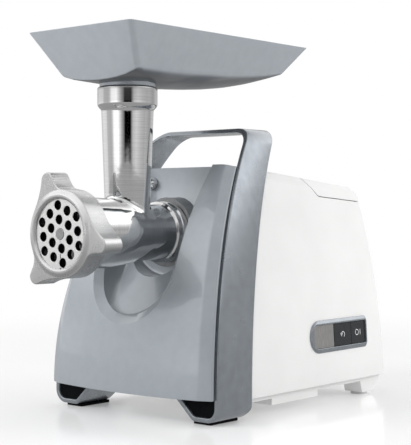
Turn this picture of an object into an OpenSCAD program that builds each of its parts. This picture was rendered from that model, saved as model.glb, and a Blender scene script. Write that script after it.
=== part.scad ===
// Electric meat grinder: a motor housing with a band handle, and a grinding head with a feed tray.
// Millimetres. +Z is up and -Y is the front, where the screw ring is. The lengths along Y are
// measured from the front edge of the handle band at its base, and in_frame() then puts the origin
// on the floor under the middle of the whole machine.

/* [Housing] */
// Half of the machine's width at its base
half_w = 98; // [96:0.5:100]
// Radius of the inward lean of the sides, seen from the front
lean_r = 680; // [660:5:720]
// Radius of the backward sweep of the band's front edge, seen from the side
sweep_r = 333; // [325:1:345]
// Radius of the backward sweep of the band's rear edge
rear_sweep_r = 360; // [350:1:370]
// Height at which the lean and the sweeps start
curve_z = 20; // [18:0.5:22]
// Lengthwise position of the rear wall at its foot
rear_y = 268; // [262:1:272]
// Wall thickness of the plastic housings
wall = 2.6; // [2:0.1:3]

/* [Handle band] */
// Depth of the band from front to back at its base
band_depth = 46; // [42:0.5:48]
// Thickness of the band
band_t = 4; // [3.5:0.1:4.5]
// Height of the top of the handle
handle_top = 254; // [250:1:260]
// Outer radius of the handle's corners
handle_corner_r = 22; // [16:1:26]

/* [Front housing] */
// Height of the lower edge of the front housing
panel_z0 = 22; // [21:0.5:24]
// Height of the upper edge of the front housing
panel_z1 = 222; // [218:0.5:224]
// How far the middle of the front bulges ahead of the band
panel_bulge = 19; // [17:0.5:21]
// Half width of the channel behind the throat
channel_r = 48; // [46:0.5:50]

/* [Grinding head] */
// Height of the drive axis
drive_z = 160; // [159:0.5:161]
// Lengthwise position of the throat's axis
throat_y = -5.5; // [-9:0.1:-4]
// Radius of the feed bore in the throat
feed_r = 17.2; // [16:0.1:18]
// Radius of the auger's bore at the front; it narrows towards the rear
barrel_bore_r = 26.5; // [26:0.1:27]
// Height of the throat's rim
throat_top = 286; // [282:0.5:288]
// Front face of the screw ring
ring_y = -87.6; // [-89:0.1:-86.5]
// Depth of the screw ring
ring_depth = 22.6; // [22:0.1:24]
// Radius of the perforated disc
disc_r = 31; // [30.5:0.1:31]
// Radius of each hole in the disc
hole_r = 4.1; // [3:0.1:4.5]
// Distance between neighbouring holes
hole_pitch = 12; // [11:0.1:12]

/* [Tray] */
// Height of the tray's rim
tray_top = 333; // [328:0.5:336]
// Half width of the rim
tray_half_w = 62.5; // [56:0.5:64]
// Front end of the rim
tray_front = -66; // [-70:1:-60]
// Rear end of the rim
tray_rear = 176; // [165:1:178]
// Wall thickness of the tray
tray_wall = 2.5; // [2:0.1:3]

/* [Drive] */
// Teeth and module of the output gear
output_teeth = 40; // [36:1:42]
// Module of the output pair
output_module = 2; // [1.8:0.1:2]

/* [Hidden] */
$fn = 64;

// Colours
panel_grey = [0.66, 0.69, 0.72];
band_grey = [0.55, 0.58, 0.62];
body_white = [0.93, 0.93, 0.93];
steel = [0.75, 0.75, 0.76];
black = [0.08, 0.08, 0.09];
copper = [0.72, 0.42, 0.22];

// Middle of the whole machine, lengthwise
mid_y = (ring_y + rear_y) / 2;
gap = 0.3;
cut = 1;
far = 400;

module in_frame() {
    translate([0, -mid_y, 0]) children();
}

// Half width, front edge and rear edge of the band at a height
function side_x(z) = half_w - (z > curve_z ? lean_r - sqrt(lean_r ^ 2 - (z - curve_z) ^ 2) : 0);
function front_y(z) = z > curve_z ? sweep_r - sqrt(sweep_r ^ 2 - (z - curve_z) ^ 2) : 0;
function back_y(z) =
    band_depth + (z > curve_z ? rear_sweep_r - sqrt(rear_sweep_r ^ 2 - (z - curve_z) ^ 2) : 0);

// A list of evenly spaced values, both ends included
function steps(a, b, n) = [for (i = [0:n]) a + (b - a) * i / n];
function arc(centre, r, a0, a1, n) = [for (a = steps(a0, a1, n)) centre + r * [cos(a), sin(a)]];
function mirror_x(points) = [for (i = [len(points) - 1:-1:0]) [-points[i][0], points[i][1]]];
function lift(points, z) = [for (p = points) [p[0], p[1], z]];

// Solid skin over rings of points, each ring clockwise seen from above, lowest ring first
module loft(rings) {
    n = len(rings[0]);
    top = (len(rings) - 1) * n;
    polyhedron(
        points = [for (ring = rings) each ring],
        faces = concat(
            [[for (i = [n - 1:-1:0]) i]],
            [[for (i = [0:n - 1]) top + i]],
            [for (j = [0:len(rings) - 2], i = [0:n - 1])
                [j * n + i, j * n + (i + 1) % n, (j + 1) * n + (i + 1) % n]],
            [for (j = [0:len(rings) - 2], i = [0:n - 1])
                [j * n + i, (j + 1) * n + (i + 1) % n, (j + 1) * n + i]]));
}

// Extrudes a drawing in X and Z from y0 to y1
module along_y(y0, y1, x = 0, z = 0) {
    translate([x, y1, z]) rotate([90, 0, 0]) linear_extrude(y1 - y0) children();
}
// Extrudes a drawing in Y and Z across the machine
module along_x(x0, x1) {
    translate([x0, 0, 0]) rotate([90, 0, 90]) linear_extrude(x1 - x0) children();
}
module rod_y(r, y0, y1, x = 0, z = 0) {
    translate([x, y0, z]) rotate([-90, 0, 0]) cylinder(r = r, h = y1 - y0);
}
module tube_y(r0, r1, y0, y1, x = 0, z = 0) {
    difference() {
        rod_y(r1, y0, y1, x, z);
        rod_y(r0, y0 - cut, y1 + cut, x, z);
    }
}
// Turns a drawing of radius and length about the drive axis
module turn_drive() {
    translate([0, 0, drive_z]) rotate([-90, 0, 0]) rotate_extrude() children();
}
module on_drive() {
    translate([0, 0, drive_z]) children();
}
module both_sides() {
    children();
    mirror([1, 0, 0]) children();
}

// ---------------------------------------------------------------- handle band
foot_z = 2.5;
foot_in_x = 51;
foot_flat_x = 70;
foot_corner_r = 12;
foot_angle = atan2(curve_z - foot_z, foot_flat_x - foot_in_x);

// Right half of the band's outline, moved inwards by d, from the foot's inner end to the top middle
function band_half(d) =
    let (
        turn_r = foot_corner_r - d,
        top_r = handle_corner_r - d,
        sin_up = (handle_top - handle_corner_r - curve_z) / (lean_r - handle_corner_r),
        up = asin(sin_up),
        corner = [half_w - foot_corner_r, foot_z + foot_corner_r],
        lean = [half_w - lean_r, curve_z],
        handle = lean + (lean_r - handle_corner_r) * [cos(up), sin(up)])
    concat(
        [[foot_in_x + d / sin(foot_angle), curve_z], [foot_flat_x + d * tan(foot_angle / 2), foot_z + d]],
        arc(corner, turn_r, -90, 0, 8),
        arc(lean, lean_r - d, 0, up, 20),
        arc(handle, top_r, up + 6, 90, 10));

module band_outline(d) {
    half = band_half(d);
    polygon(concat(half, mirror_x(half)));
}

module band_side_view(y_front, y_back) {
    heights = steps(curve_z, handle_top, 20);
    polygon(concat(
        [[y_front, 0]],
        [for (z = heights) [front_y(z) + y_front, z]],
        [for (i = [len(heights) - 1:-1:0]) [back_y(heights[i]) + y_back, heights[i]]],
        [[band_depth + y_back, foot_z + 7], [band_depth + y_back - 5, foot_z], [band_depth - 8, 0]]));
}

module handle_band() {
    in_frame() color(band_grey)
        intersection() {
            along_y(-cut, far) difference() {
                band_outline(0);
                band_outline(band_t);
                translate([-foot_in_x - band_t, -cut])
                    square([2 * (foot_in_x + band_t), curve_z + cut - 0.01]);
            }
            along_x(-half_w - cut, half_w + cut) band_side_view(0, 0);
        }
}

// Dark rubber blocks that fill the band's two feet
module foot_fillers() {
    top_z = panel_z0 - gap;
    step_y = panel_back - gap;
    step_z = body_z - gap;
    in_frame() color(black) both_sides() intersection() {
        along_y(2, band_depth - 3) intersection() {
            band_outline(band_t + 0.2);
            translate([foot_in_x + 2 * band_t, 0]) square([half_w, top_z]);
        }
        along_x(0, half_w) polygon([
            [0, 0], [0, top_z], [step_y, top_z], [step_y, step_z], [band_depth, step_z], [band_depth, 0]]);
    }
}

module front_foot_pads() {
    in_frame() color(black) both_sides()
        translate([foot_flat_x - 2, 4, 0]) cube([19, band_depth - 10, foot_z]);
}

// ---------------------------------------------------------------- front housing
panel_back = 22;
lip_x = 2;
crease_low = 14;
crease_high = 7.5;
crease_y = 10.5;
bow_n = 12;
panel_levels = 10;

function crease_x(z) =
    side_x(z) - crease_low + (crease_low - crease_high) * (z - panel_z0) / (panel_z1 - panel_z0);
function bow_y(z, x) =
    front_y(z) - panel_bulge + (panel_bulge - crease_y) * (x / crease_x(z)) ^ 2;

// One level of the front housing: its back, its lip beside the band, its crease and its bowed face
function panel_ring(z) =
    let (
        w = side_x(z),
        f = front_y(z),
        c = crease_x(z),
        half = [
            [w - band_t - 0.4, f + panel_back],
            [w - band_t - 0.4, f - 1.5],
            [w - lip_x, f - 2.6],
            [w - lip_x, f - 4.5],
            [c, f - crease_y]],
        face = [for (k = [1:bow_n - 1]) let (x = c * (1 - 2 * k / bow_n)) [x, bow_y(z, x)]])
    lift(concat(half, face, mirror_x(half)), z);

function panel_hollow_ring(z, t) =
    let (
        w = side_x(z) - band_t - 0.4 - t,
        f = front_y(z),
        c = crease_x(z) - t,
        half = [[w, f + panel_back + cut], [w, f], [c, f - crease_y + t]],
        face = [for (k = [1:bow_n - 1]) let (x = c * (1 - 2 * k / bow_n)) [x, bow_y(z, x) + t]])
    lift(concat(half, face, mirror_x(half)), z);

module panel_form() {
    loft([for (z = steps(panel_z0, panel_z1, panel_levels)) panel_ring(z)]);
}
module panel_hollow() {
    loft([for (z = steps(panel_z0 + wall, panel_z1, panel_levels)) panel_hollow_ring(z, wall)]);
}

// The channel behind the throat, and the round pocket that the head's flange sits in
channel_z = 129;
channel_top_y = 65;
channel_depth = 77;
channel_low = 141;
channel_power = 1.84;
pocket_r = 39.5;
pocket_y = 43.6;
function channel_y(z) =
    channel_top_y - channel_depth * (max(panel_z1 - z, 0) / channel_low) ^ channel_power;

module channel(grow) {
    intersection() {
        along_y(-60, far, 0, 0) union() {
            translate([0, channel_z]) circle(channel_r + grow);
            translate([-channel_r - grow, channel_z]) square([2 * (channel_r + grow), 120]);
        }
        along_x(-60, 60) polygon(concat(
            [[-60, channel_z - channel_r - 8]],
            [for (z = steps(channel_z - channel_r - 8, panel_z1, 16)) [channel_y(z) + grow, z]],
            [[channel_top_y + grow, 260], [-60, 260]]));
    }
    rod_y(pocket_r + grow, 0, pocket_y + grow, 0, drive_z);
}

socket_r = 31;
// The round knob that frees the head, beside the throat
release_x = -33;
release_z = 204;
release_r = 5.2;
release_chamfer = 1.5;
release_face_y = 56;
release_stem_y = 66;

module above_top(t) {
    translate([-120, body_top_front[0], body_top_front[1] - t]) rotate([-body_slope, 0, 0])
        translate([0, -80, 0]) cube([240, far, 60]);
}

module front_housing() {
    in_frame() color(panel_grey) difference() {
        union() {
            difference() {
                panel_form();
                difference() {
                    panel_hollow();
                    above_top(wall);
                }
            }
            intersection() {
                panel_form();
                channel(wall);
            }
        }
        above_top(0);
        channel(0);
        rod_y(socket_r + 0.2, 20, 80, 0, drive_z);
        rod_y(release_r + gap, 20, 80, release_x, release_z);
    }
}

module release_button() {
    in_frame() color(steel) {
        rod_y(release_r, release_face_y + release_chamfer, release_stem_y, release_x, release_z);
        translate([release_x, release_face_y, release_z]) rotate([-90, 0, 0])
            cylinder(r1 = release_r - release_chamfer, r2 = release_r, h = release_chamfer);
        rod_y(2.5, release_stem_y, release_stem_y + 2, release_x, release_z);
    }
}

// ---------------------------------------------------------------- rear housing, lid and bin
body_z = 18;
body_inset = 1;
body_taper = 5;
body_corner_r = 10;
rear_lean = 14;
body_levels = 10;
body_top_front = [60, 220.2];
body_top_rear = [242.5, 202.3];
body_slope = atan2(body_top_front[1] - body_top_rear[1], body_top_rear[0] - body_top_front[0]);
body_bevel_x = 60.5;
rear_bevel_slope = 0.9;

function rear_at(z) = rear_y - rear_lean * (max(z, 21) - 21) / 171;
function body_x(z, y) =
    side_x(z) - body_inset - body_taper * (y - band_depth) / (rear_y - band_depth);

function body_ring(z, t) =
    let (
        r = body_corner_r - t,
        rear = rear_at(z) - t,
        start = back_y(z) + 0.4 + t,
        x_rear = body_x(z, rear) - t,
        x_collar = side_x(z) - band_t - 0.4 - t,
        half = concat(
            arc([x_rear - r, rear - r], r, 90, 0, 5),
            [[body_x(z, start) - t, start], [x_collar, start],
                [x_collar, front_y(z) + panel_back + gap - t]]))
    lift(concat(half, mirror_x(half)), z);

module body_form(t) {
    slope_rise = 90;
    intersection() {
        loft([for (z = steps(t > 0 ? body_z - cut : body_z, body_top_front[1] + 8, body_levels))
            body_ring(z, t)]);
        translate([0, body_top_front[0], body_top_front[1] - t]) rotate([-body_slope, 0, 0])
            translate([0, -60, 0]) rotate([-90, 0, 0]) linear_extrude(far) polygon([
                [-body_bevel_x + t / 2, 0], [body_bevel_x - t / 2, 0],
                [body_bevel_x - t / 2 + slope_rise, slope_rise], [body_bevel_x, far],
                [-body_bevel_x, far], [-body_bevel_x + t / 2 - slope_rise, slope_rise]]);
        along_x(-120, 120) polygon([
            [0, 0], [far, 0],
            [far, body_top_rear[1] - (far - body_top_rear[0]) * rear_bevel_slope - t + 100],
            [body_top_rear[0] + 111.1, body_top_rear[1] - t - 100],
            [body_top_rear[0], body_top_rear[1] - t], [0, body_top_rear[1] + 250 - t]]);
    }
}

// Seam of the lid, seen from the side: a soft S from the top, then a line to the rear wall
lid_front_y = 154;
lid_low_y = 181;
lid_rear_z = 187;
lid_low_z = 192;
lid_high_z = 216;
function smooth(t) = t * t * (3 - 2 * t);
module lid_region(shift) {
    points = [for (t = steps(0, 1, 8))
        [lid_front_y + shift + (lid_low_y - lid_front_y) * t,
        lid_high_z + shift - (lid_high_z - lid_low_z) * smooth(t)]];
    slope = (lid_low_z - lid_rear_z) / (rear_y - 14 - lid_low_y);
    along_x(-120, 120) polygon(concat(
        points,
        [[300, lid_low_z - slope * (300 - lid_low_y) + shift], [300, 260], [lid_front_y + shift, 260]]));
}

hinge_y = 256.2;
hinge_z = 187.4;
hinge_r = 3;
hinge_pin_r = 1.5;
hinge_fixed = [[-50, -38], [38, 50]];
hinge_moving = [[-37.6, -26], [26, 37.6]];
module hinge_knuckles(spans, r) {
    for (s = spans)
        translate([s[0], hinge_y, hinge_z]) rotate([0, 90, 0]) cylinder(r = r, h = s[1] - s[0]);
}

screw_places = [[82, 62], [80, 212]];
boss_r = 4.5;
boss_h = 22;

module rear_housing() {
    in_frame() color(body_white) difference() {
        union() {
            difference() {
                body_form(0);
                body_form(wall);
                lid_region(0);
            }
            both_sides() for (p = screw_places) {
                translate([p[0], p[1], body_z]) cylinder(r = boss_r, h = boss_h);
                translate([p[0], p[1] - 1, body_z])
                    cube([body_x(body_z, p[1]) - p[0] - wall / 2, 2, boss_h]);
            }
            hinge_knuckles(hinge_fixed, hinge_r);
        }
        hinge_knuckles(hinge_moving, hinge_r + gap);
        hinge_knuckles([[-60, 60]], hinge_pin_r + 0.02);
        both_sides() for (p = screw_places)
            translate([p[0], p[1], 0]) cylinder(r = 1.9, h = 36);
        on_side() bezel_outline(-8, 5, -1.5);
        on_side() bezel_outline(-0.7, 5, 0.1);
        rod_y(cord_r, 240, far, cord_x, cord_z);
    }
}

module storage_lid() {
    in_frame() color(body_white) difference() {
        union() {
            intersection() {
                difference() {
                    body_form(0);
                    body_form(wall);
                }
                lid_region(0.6);
            }
            intersection() {
                hinge_knuckles(hinge_moving, hinge_r);
                translate([-60, hinge_y - hinge_r, hinge_z - hinge_r]) cube([120, 2 * hinge_r, 2 * hinge_r]);
            }
            for (s = hinge_moving)
                translate([s[0], hinge_y - 4.4, hinge_z + 1.2]) cube([s[1] - s[0], 4, 3]);
        }
        hinge_knuckles([[-50.4, -37.6], [37.6, 50.4]], hinge_r + gap);
        hinge_knuckles([[-60, 60]], hinge_pin_r + 0.05);
    }
}

module lid_hinge_pin() {
    in_frame() color(steel) for (s = [-1, 1])
        translate([s * 38 - 12, hinge_y, hinge_z]) rotate([0, 90, 0])
            cylinder(r = hinge_pin_r, h = 24);
}

bin_y0 = 184;
bin_y1 = 244;
bin_z0 = 136;
bin_z1 = 186;
bin_half_w = 58;
module storage_bin() {
    t = 2;
    in_frame() color(body_white) difference() {
        union() {
            translate([-bin_half_w, bin_y0, bin_z0]) cube([2 * bin_half_w, bin_y1 - bin_y0, bin_z1 - bin_z0]);
            translate([-bin_half_w - 5, bin_y0 - 3, bin_z1 - t])
                cube([2 * bin_half_w + 10, bin_y1 - bin_y0 + 5, t]);
        }
        translate([-bin_half_w + t, bin_y0 + t, bin_z0 + t])
            cube([2 * (bin_half_w - t), bin_y1 - bin_y0 - 2 * t, bin_z1]);
    }
}

// ---------------------------------------------------------------- base
base_z0 = 14;
sump_z0 = 8;
leg_y = [228, 258];
module base_plate() {
    in_frame() color(body_white) difference() {
        union() {
            both_sides() translate([0, 0, base_z0]) linear_extrude(body_z - 0.1 - base_z0) polygon([
                [-cut, 24], [foot_in_x - 1, 24], [foot_in_x - 1, band_depth + 0.6],
                [91, band_depth + 0.6], [86, 262], [-cut, 262]]);
            both_sides() translate([0, 0, sump_z0]) linear_extrude(base_z0 - sump_z0 + cut)
                polygon([[-cut, 84], [89.5, 84], [88, 155], [-cut, 155]]);
            both_sides() along_x(66, 86) polygon([
                [leg_y[0], base_z0 + cut], [leg_y[0] + 4, foot_z], [leg_y[1] - 8, foot_z],
                [leg_y[1] + 3, base_z0 + cut]]);
        }
        both_sides() for (p = screw_places) {
            translate([p[0], p[1], -cut]) cylinder(r = 2.1, h = 30);
            translate([p[0], p[1], -cut]) cylinder(r = 3.8, h = base_z0 + 2 + cut);
        }
        for (i = [0:6]) translate([-38 + 12 * i, 96, -cut]) cube([6, 48, 30]);
    }
}
module rear_foot_pads() {
    in_frame() color(black) both_sides()
        translate([76, (leg_y[0] + leg_y[1]) / 2 - 2, 0]) cylinder(r = 8, h = foot_z);
}
module housing_screws() {
    in_frame() color(steel) both_sides() for (p = screw_places)
        translate([p[0], p[1], 0]) {
            translate([0, 0, base_z0 - 0.6]) cylinder(r = 3.6, h = 2.6);
            translate([0, 0, base_z0]) cylinder(r = 1.85, h = 20);
        }
}

// ---------------------------------------------------------------- control panel on the right side
panel_mid_y = 182.5;
panel_mid_z = 63;
bezel_len = 95;
bezel_h = 30;
bezel_proud = 2;
window_h = 21.5;
window_corner_r = 4.5;
window_y = [5.2 - bezel_len / 2, bezel_len / 2 - 2.5];
side_lean = asin((panel_mid_z - curve_z) / lean_r);
side_taper = atan2(body_taper, rear_y - band_depth);

// Local frame of the side: +X out of the wall, Y to the rear, Z up the wall
module on_side() {
    translate([body_x(panel_mid_z, panel_mid_y), panel_mid_y, panel_mid_z])
        rotate([0, -side_lean, side_taper]) children();
}
// The bezel's outline, round at its front end, with small corners at the rear; grow widens it
module bezel_shape(grow) {
    r = bezel_h / 2 + grow;
    front = -bezel_len / 2 + bezel_h / 2;
    rear = bezel_len / 2 + grow;
    top = bezel_h / 2 + grow;
    small = 4;
    polygon(concat(
        arc([front, 0], r, 90, 270, 20),
        arc([rear - small, -top + small], small, -90, 0, 4),
        arc([rear - small, top - small], small, 0, 90, 4)));
}
module bezel_outline(x0, x1, grow) {
    translate([x0, 0, 0]) rotate([90, 0, 90]) linear_extrude(x1 - x0) bezel_shape(grow);
}
module window_shape(grow) {
    r = window_corner_r + grow;
    top = window_h / 2 + grow;
    front = window_y[0] - grow;
    rear = window_y[1] + grow;
    polygon(concat(
        arc([front + r, top - r], r, 90, 180, 6),
        arc([front + r, r - top], r, 180, 270, 6),
        [[rear, -top], [rear, top]]));
}
module window_prism(x0, x1, grow) {
    translate([x0, 0, 0]) rotate([90, 0, 90]) linear_extrude(x1 - x0) window_shape(grow);
}

module control_bezel() {
    in_frame() color(band_grey) on_side() difference() {
        union() {
            bezel_outline(-6, 0, -1.8);
            intersection() {
                bezel_outline(-0.6, bezel_proud, 0);
                hull() {
                    bezel_outline(-0.6, 0.4, 0);
                    bezel_outline(bezel_proud - 0.1, bezel_proud, -1.6);
                }
            }
        }
        window_prism(-10, 10, 0);
    }
}

insert_y1 = -8.5;
button_split_y = 20.5;
button_end_y = bezel_len / 2 - 2.9;
button_face = 0.6;
module steel_insert() {
    in_frame() color(steel) on_side() intersection() {
        window_prism(-3, 0.2, -0.15);
        translate([-5, -60, -20]) cube([10, 60 + insert_y1, 40]);
    }
}
module button(y0, y1) {
    in_frame() color(black) on_side() {
        translate([-4, y0 + 0.3, -window_h / 2 + 0.4])
            cube([4 + button_face, y1 - y0 - 0.6, window_h - 0.8]);
        translate([-7, (y0 + y1) / 2 - 2, -3]) cube([3, 4, 6]);
    }
}
module reverse_button() button(insert_y1, button_split_y);
module power_button() button(button_split_y, button_end_y);

module control_board() {
    in_frame() color("darkgreen") on_side() translate([-19, -28, -14]) cube([1.6, 76, 28]);
}
module button_switches() {
    in_frame() color(black) on_side() for (y = [6, 32.5])
        translate([-17.4, y - 5, -4]) cube([8, 10, 8]);
}

// ---------------------------------------------------------------- drive socket and head
spigot_r = 24;
socket_bore_r = 24.3;
socket_y = [44.4, 69.8];
groove_y = [54, 60];
groove_r = 27.6;
lug_angles = [90, 210, 330];
unlock_angle = 45;

module lugs_2d(r, half_angle) {
    for (a = lug_angles) intersection() {
        circle(r);
        polygon([[0, 0], 60 * [cos(a - half_angle), sin(a - half_angle)],
            60 * [cos(a + half_angle), sin(a + half_angle)]]);
    }
}

module drive_socket() {
    in_frame() color([0.25, 0.27, 0.29]) on_drive() difference() {
        rod_y(socket_r, socket_y[0], socket_y[1]);
        rod_y(socket_bore_r, 0, socket_y[1] - 4);
        rod_y(groove_r, groove_y[0], groove_y[1]);
        along_y(0, groove_y[1]) rotate(-unlock_angle) lugs_2d(groove_r, 13);
        rod_y(17.5, 0, far);
    }
}

head_y = [-85, 58];
disc_back_y = -80.2;
flange_y = 44;
flange_r = 27.5;
front_flange_r = 33.4;
seat_r = 23.7;
seat_depth = 14;
rear_bore_r = 21.4;
// Lower end of the feed bore; below it the throat opens a little wider into the barrel
feed_z = 187;
module grinder_body() {
    in_frame() color(steel) difference() {
        union() {
            turn_drive() polygon([
                [0, head_y[1]], [spigot_r, head_y[1]], [spigot_r, flange_y], [flange_r, flange_y],
                [flange_r, 38.6], [26.4, 37.6], [26.4, 34.6], [27.2, 33.6], [27.2, 32.1], [25, 30.6],
                [24.6, 24], [24.9, 8], [26.5, -8], [28.4, -20], [29.8, -34], [30.5, -50],
                [30.8, -62], [front_flange_r, -64], [front_flange_r, head_y[0]], [0, head_y[0]]]);
            on_drive() along_y(54.5, 57.5) lugs_2d(27.2, 11);
            translate([0, throat_y, 0]) rotate_extrude() polygon([
                [0, drive_z], [19, drive_z], [22.7, 264], [22.9, 266.5], [25, 268.5],
                [26.2, 270.5], [26.2, throat_top - 1], [25.4, throat_top], [0, throat_top]]);
        }
        turn_drive() polygon([
            [0, head_y[0] - cut], [disc_r + 0.15, head_y[0] - cut], [disc_r + 0.15, disc_back_y + 0.2],
            [barrel_bore_r, disc_back_y + 0.2], [barrel_bore_r, auger_y[0]], [rear_bore_r, auger_y[1]],
            [rear_bore_r, 32], [14.5, 34],
            [14.5, head_y[1] + cut], [0, head_y[1] + cut]]);
        translate([0, throat_y, drive_z]) cylinder(r = feed_r + 0.4, h = feed_z - drive_z);
        translate([0, throat_y, feed_z]) cylinder(r = feed_r, h = far);
        translate([0, throat_y, throat_top - seat_depth]) cylinder(r = seat_r, h = far);
    }
}

hex_cells = [for (i = [-2:2], j = [-2:2]) if (abs(i + j) <= 2) [i, j]];
disc_tilt = 7;
module perforated_disc() {
    in_frame() color(steel) on_drive() along_y(head_y[0], disc_back_y) difference() {
        circle(disc_r);
        for (c = hex_cells)
            if (c != [0, 0])
                rotate(disc_tilt) translate(hole_pitch * [c[0] * cos(30), c[1] + c[0] / 2])
                    circle(hole_r, $fn = 32);
        circle(4.6);
        translate([-1.5, disc_r - 2]) square([3, 4]);
    }
}

ring_r = 37;
ring_bore_r = 33.7;
ring_lug_angle = 110;
ring_drop = 2.2;
// The ring's outline round one grip: angle from the grip's middle, and distance from the axis
ring_grip = [
    [-36, 37], [-25, 37], [-20, 37.4], [-16, 38.6], [-13, 40.6], [-10.5, 43.6], [-8.2, 48.4],
    [-6.8, 51.2], [-5.2, 52.4], [4.4, 52.4], [6.2, 51.2], [8, 49], [10.5, 46.4], [14, 43.8],
    [18, 41.6], [23, 39.6], [29, 38.1], [36, 37.2], [42, 37]];
module ring_outline() {
    // The plain arcs between the grips
    plain = [for (a = [49:7:77]) [a, ring_r]];
    polygon([for (k = [0:2], p = concat(ring_grip, plain))
        let (a = ring_lug_angle + 120 * k + p[0]) p[1] * [cos(a), sin(a)]]);
}
module screw_ring() {
    in_frame() color(steel) on_drive() difference() {
        along_y(ring_y, ring_y + ring_depth) ring_outline();
        rod_y(ring_bore_r, head_y[0] - gap, 0);
        rotate([-90, 0, 0]) rotate_extrude() polygon([
            [0, ring_y - cut], [30.6, ring_y - cut], [30.6, ring_y], [29, ring_y + 1.2],
            [29, ring_y + 6], [0, ring_y + 6]]);
        rotate([-90, 0, 0]) rotate_extrude() polygon([
            [32, ring_y - cut], [32, ring_y], [35.6, ring_y + ring_drop], [60, ring_y + ring_drop],
            [60, ring_y - cut]]);
    }
}

// ---------------------------------------------------------------- feed tray
tray_corner_r = 6;
tray_crease_x = 47.5;
tray_crease_y = [-41, 156];
tray_crease_z = [300, 308];
neck_r = 23.4;
neck_bore_r = 19.5;
neck_ring_r = 24.3;
tray_middle_y = (tray_crease_y[0] + tray_crease_y[1]) / 2;
// The curved underside: share of the crease's outline, and depth below the crease
tray_belly = [[1, 0], [0.93, 4.5], [0.8, 9], [0.6, 12.5], [0.3, 14.5]];
// Outside of the tray at t = 0, and its hollow at t = tray_wall
module tray_form(t) {
    r = tray_corner_r - t;
    crease_r = 5 - t / 2;
    hull() {
        for (x = [-1, 1] * (tray_half_w - t - r), y = [tray_front + t + r, tray_rear - t - r])
            translate([x, y, tray_top - 2]) cylinder(r = r, h = t > 0 ? 2 + cut : 2, $fn = 32);
        for (b = tray_belly, s = [-1, 1], k = [0, 1])
            let (y = tray_crease_y[k] + (k == 0 ? 1 : -1) * (t + crease_r))
                translate([s * b[0] * (tray_crease_x - t - crease_r),
                    tray_middle_y + b[0] * (y - tray_middle_y), tray_crease_z[k] + t - b[1]])
                    cylinder(r = crease_r * b[0], h = 1, $fn = 32);
    }
}
module feed_tray() {
    in_frame() color(panel_grey) difference() {
        union() {
            tray_form(0);
            translate([0, throat_y, throat_top - seat_depth + gap]) cylinder(r = neck_r, h = 28);
            translate([0, throat_y, throat_top + gap]) cylinder(r = neck_ring_r, h = 5.2);
        }
        tray_form(tray_wall);
        translate([0, throat_y, drive_z]) cylinder(r = neck_bore_r, h = far);
    }
}

// ---------------------------------------------------------------- auger and knife
auger_y = [-76.6, 12];
auger_pitch = 30;
flight_half_angle = 24;
module auger() {
    turns = (auger_y[1] - auger_y[0]) / auger_pitch;
    flight_r = rear_bore_r - 0.9;
    widen = (barrel_bore_r - 0.9) / flight_r;
    in_frame() color(steel) on_drive() {
        rod_y(9.5, auger_y[0], 31);
        rod_y(13.6, 31, 44);
        along_y(44, 62) square(11.6, center = true);
        along_y(disc_back_y + 0.1, auger_y[0]) square(9.4, center = true);
        rod_y(4.5, head_y[0] - 0.6, disc_back_y + 0.1);
        translate([0, auger_y[1], 0]) rotate([90, 0, 0])
            linear_extrude(auger_y[1] - auger_y[0], twist = 360 * turns, slices = 42, scale = widen)
                polygon(concat([[0, 0]], arc([0, 0], flight_r, -flight_half_angle, flight_half_angle, 2)));
    }
}
module knife() {
    in_frame() color(steel) on_drive() along_y(disc_back_y + 0.4, auger_y[0] - 0.2) difference() {
        union() {
            circle(10);
            for (a = [0:90:270]) rotate(a) polygon([[5, -5], [25.5, -3.6], [25.5, 3], [8, 7]]);
        }
        square(9.8, center = true);
    }
}

// ---------------------------------------------------------------- gear train
pressure_angle = 25;
addendum = 0.8;
dedendum = 1.05;
tooth_share = 0.45;
second_teeth = 44;
second_module = 1.25;
second_pinion_teeth = 10;
first_teeth = 55;
first_module = 1;
motor_pinion_teeth = 11;
output_pinion_teeth = 10;

// Centre of each shaft in X and Z
output_c = [0, drive_z];
second_dir = atan2(-40, -30);
second_c = output_c + output_module * (output_teeth + output_pinion_teeth) / 2
    * [cos(second_dir), sin(second_dir)];
first_dir = -27.3;
first_c = second_c + second_module * (second_teeth + second_pinion_teeth) / 2
    * [cos(first_dir), sin(first_dir)];
motor_dir = -90;
motor_c = first_c + first_module * (first_teeth + motor_pinion_teeth) / 2
    * [cos(motor_dir), sin(motor_dir)];

function involute_angle(rb, r) = r <= rb ? 0 : sqrt((r / rb) ^ 2 - 1) * 180 / PI - acos(rb / r);
// Gear outline with a tooth centred on +X
module gear_2d(teeth, m) {
    pitch_r = teeth * m / 2;
    base_r = pitch_r * cos(pressure_angle);
    root_r = pitch_r - dedendum * m;
    tip_r = pitch_r + addendum * m;
    half = 180 / teeth * tooth_share + involute_angle(base_r, pitch_r);
    radii = concat(root_r < base_r ? [root_r] : [], steps(max(base_r, root_r), tip_r, 3));
    polygon([for (k = [0:teeth - 1], s = [-1, 1], i = [0:len(radii) - 1])
        let (
            r = s < 0 ? radii[i] : radii[len(radii) - 1 - i],
            a = 360 * k / teeth + s * (half - involute_angle(base_r, r)))
        r * [cos(a), sin(a)]]);
}
module gear(teeth, m, y0, y1, c, phase, bore_r) {
    along_y(y0, y1, c[0], c[1]) difference() {
        rotate(phase) gear_2d(teeth, m);
        if (bore_r > 0) circle(bore_r);
    }
}
output_mesh_y = [76, 90];
second_mesh_y = [92, 101];
first_mesh_y = [104, 113];
box_front = [70, 74];
box_back = [116.2, 120];
shaft_r = 4;
output_r = 12;
output_tail_r = 8;

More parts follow.
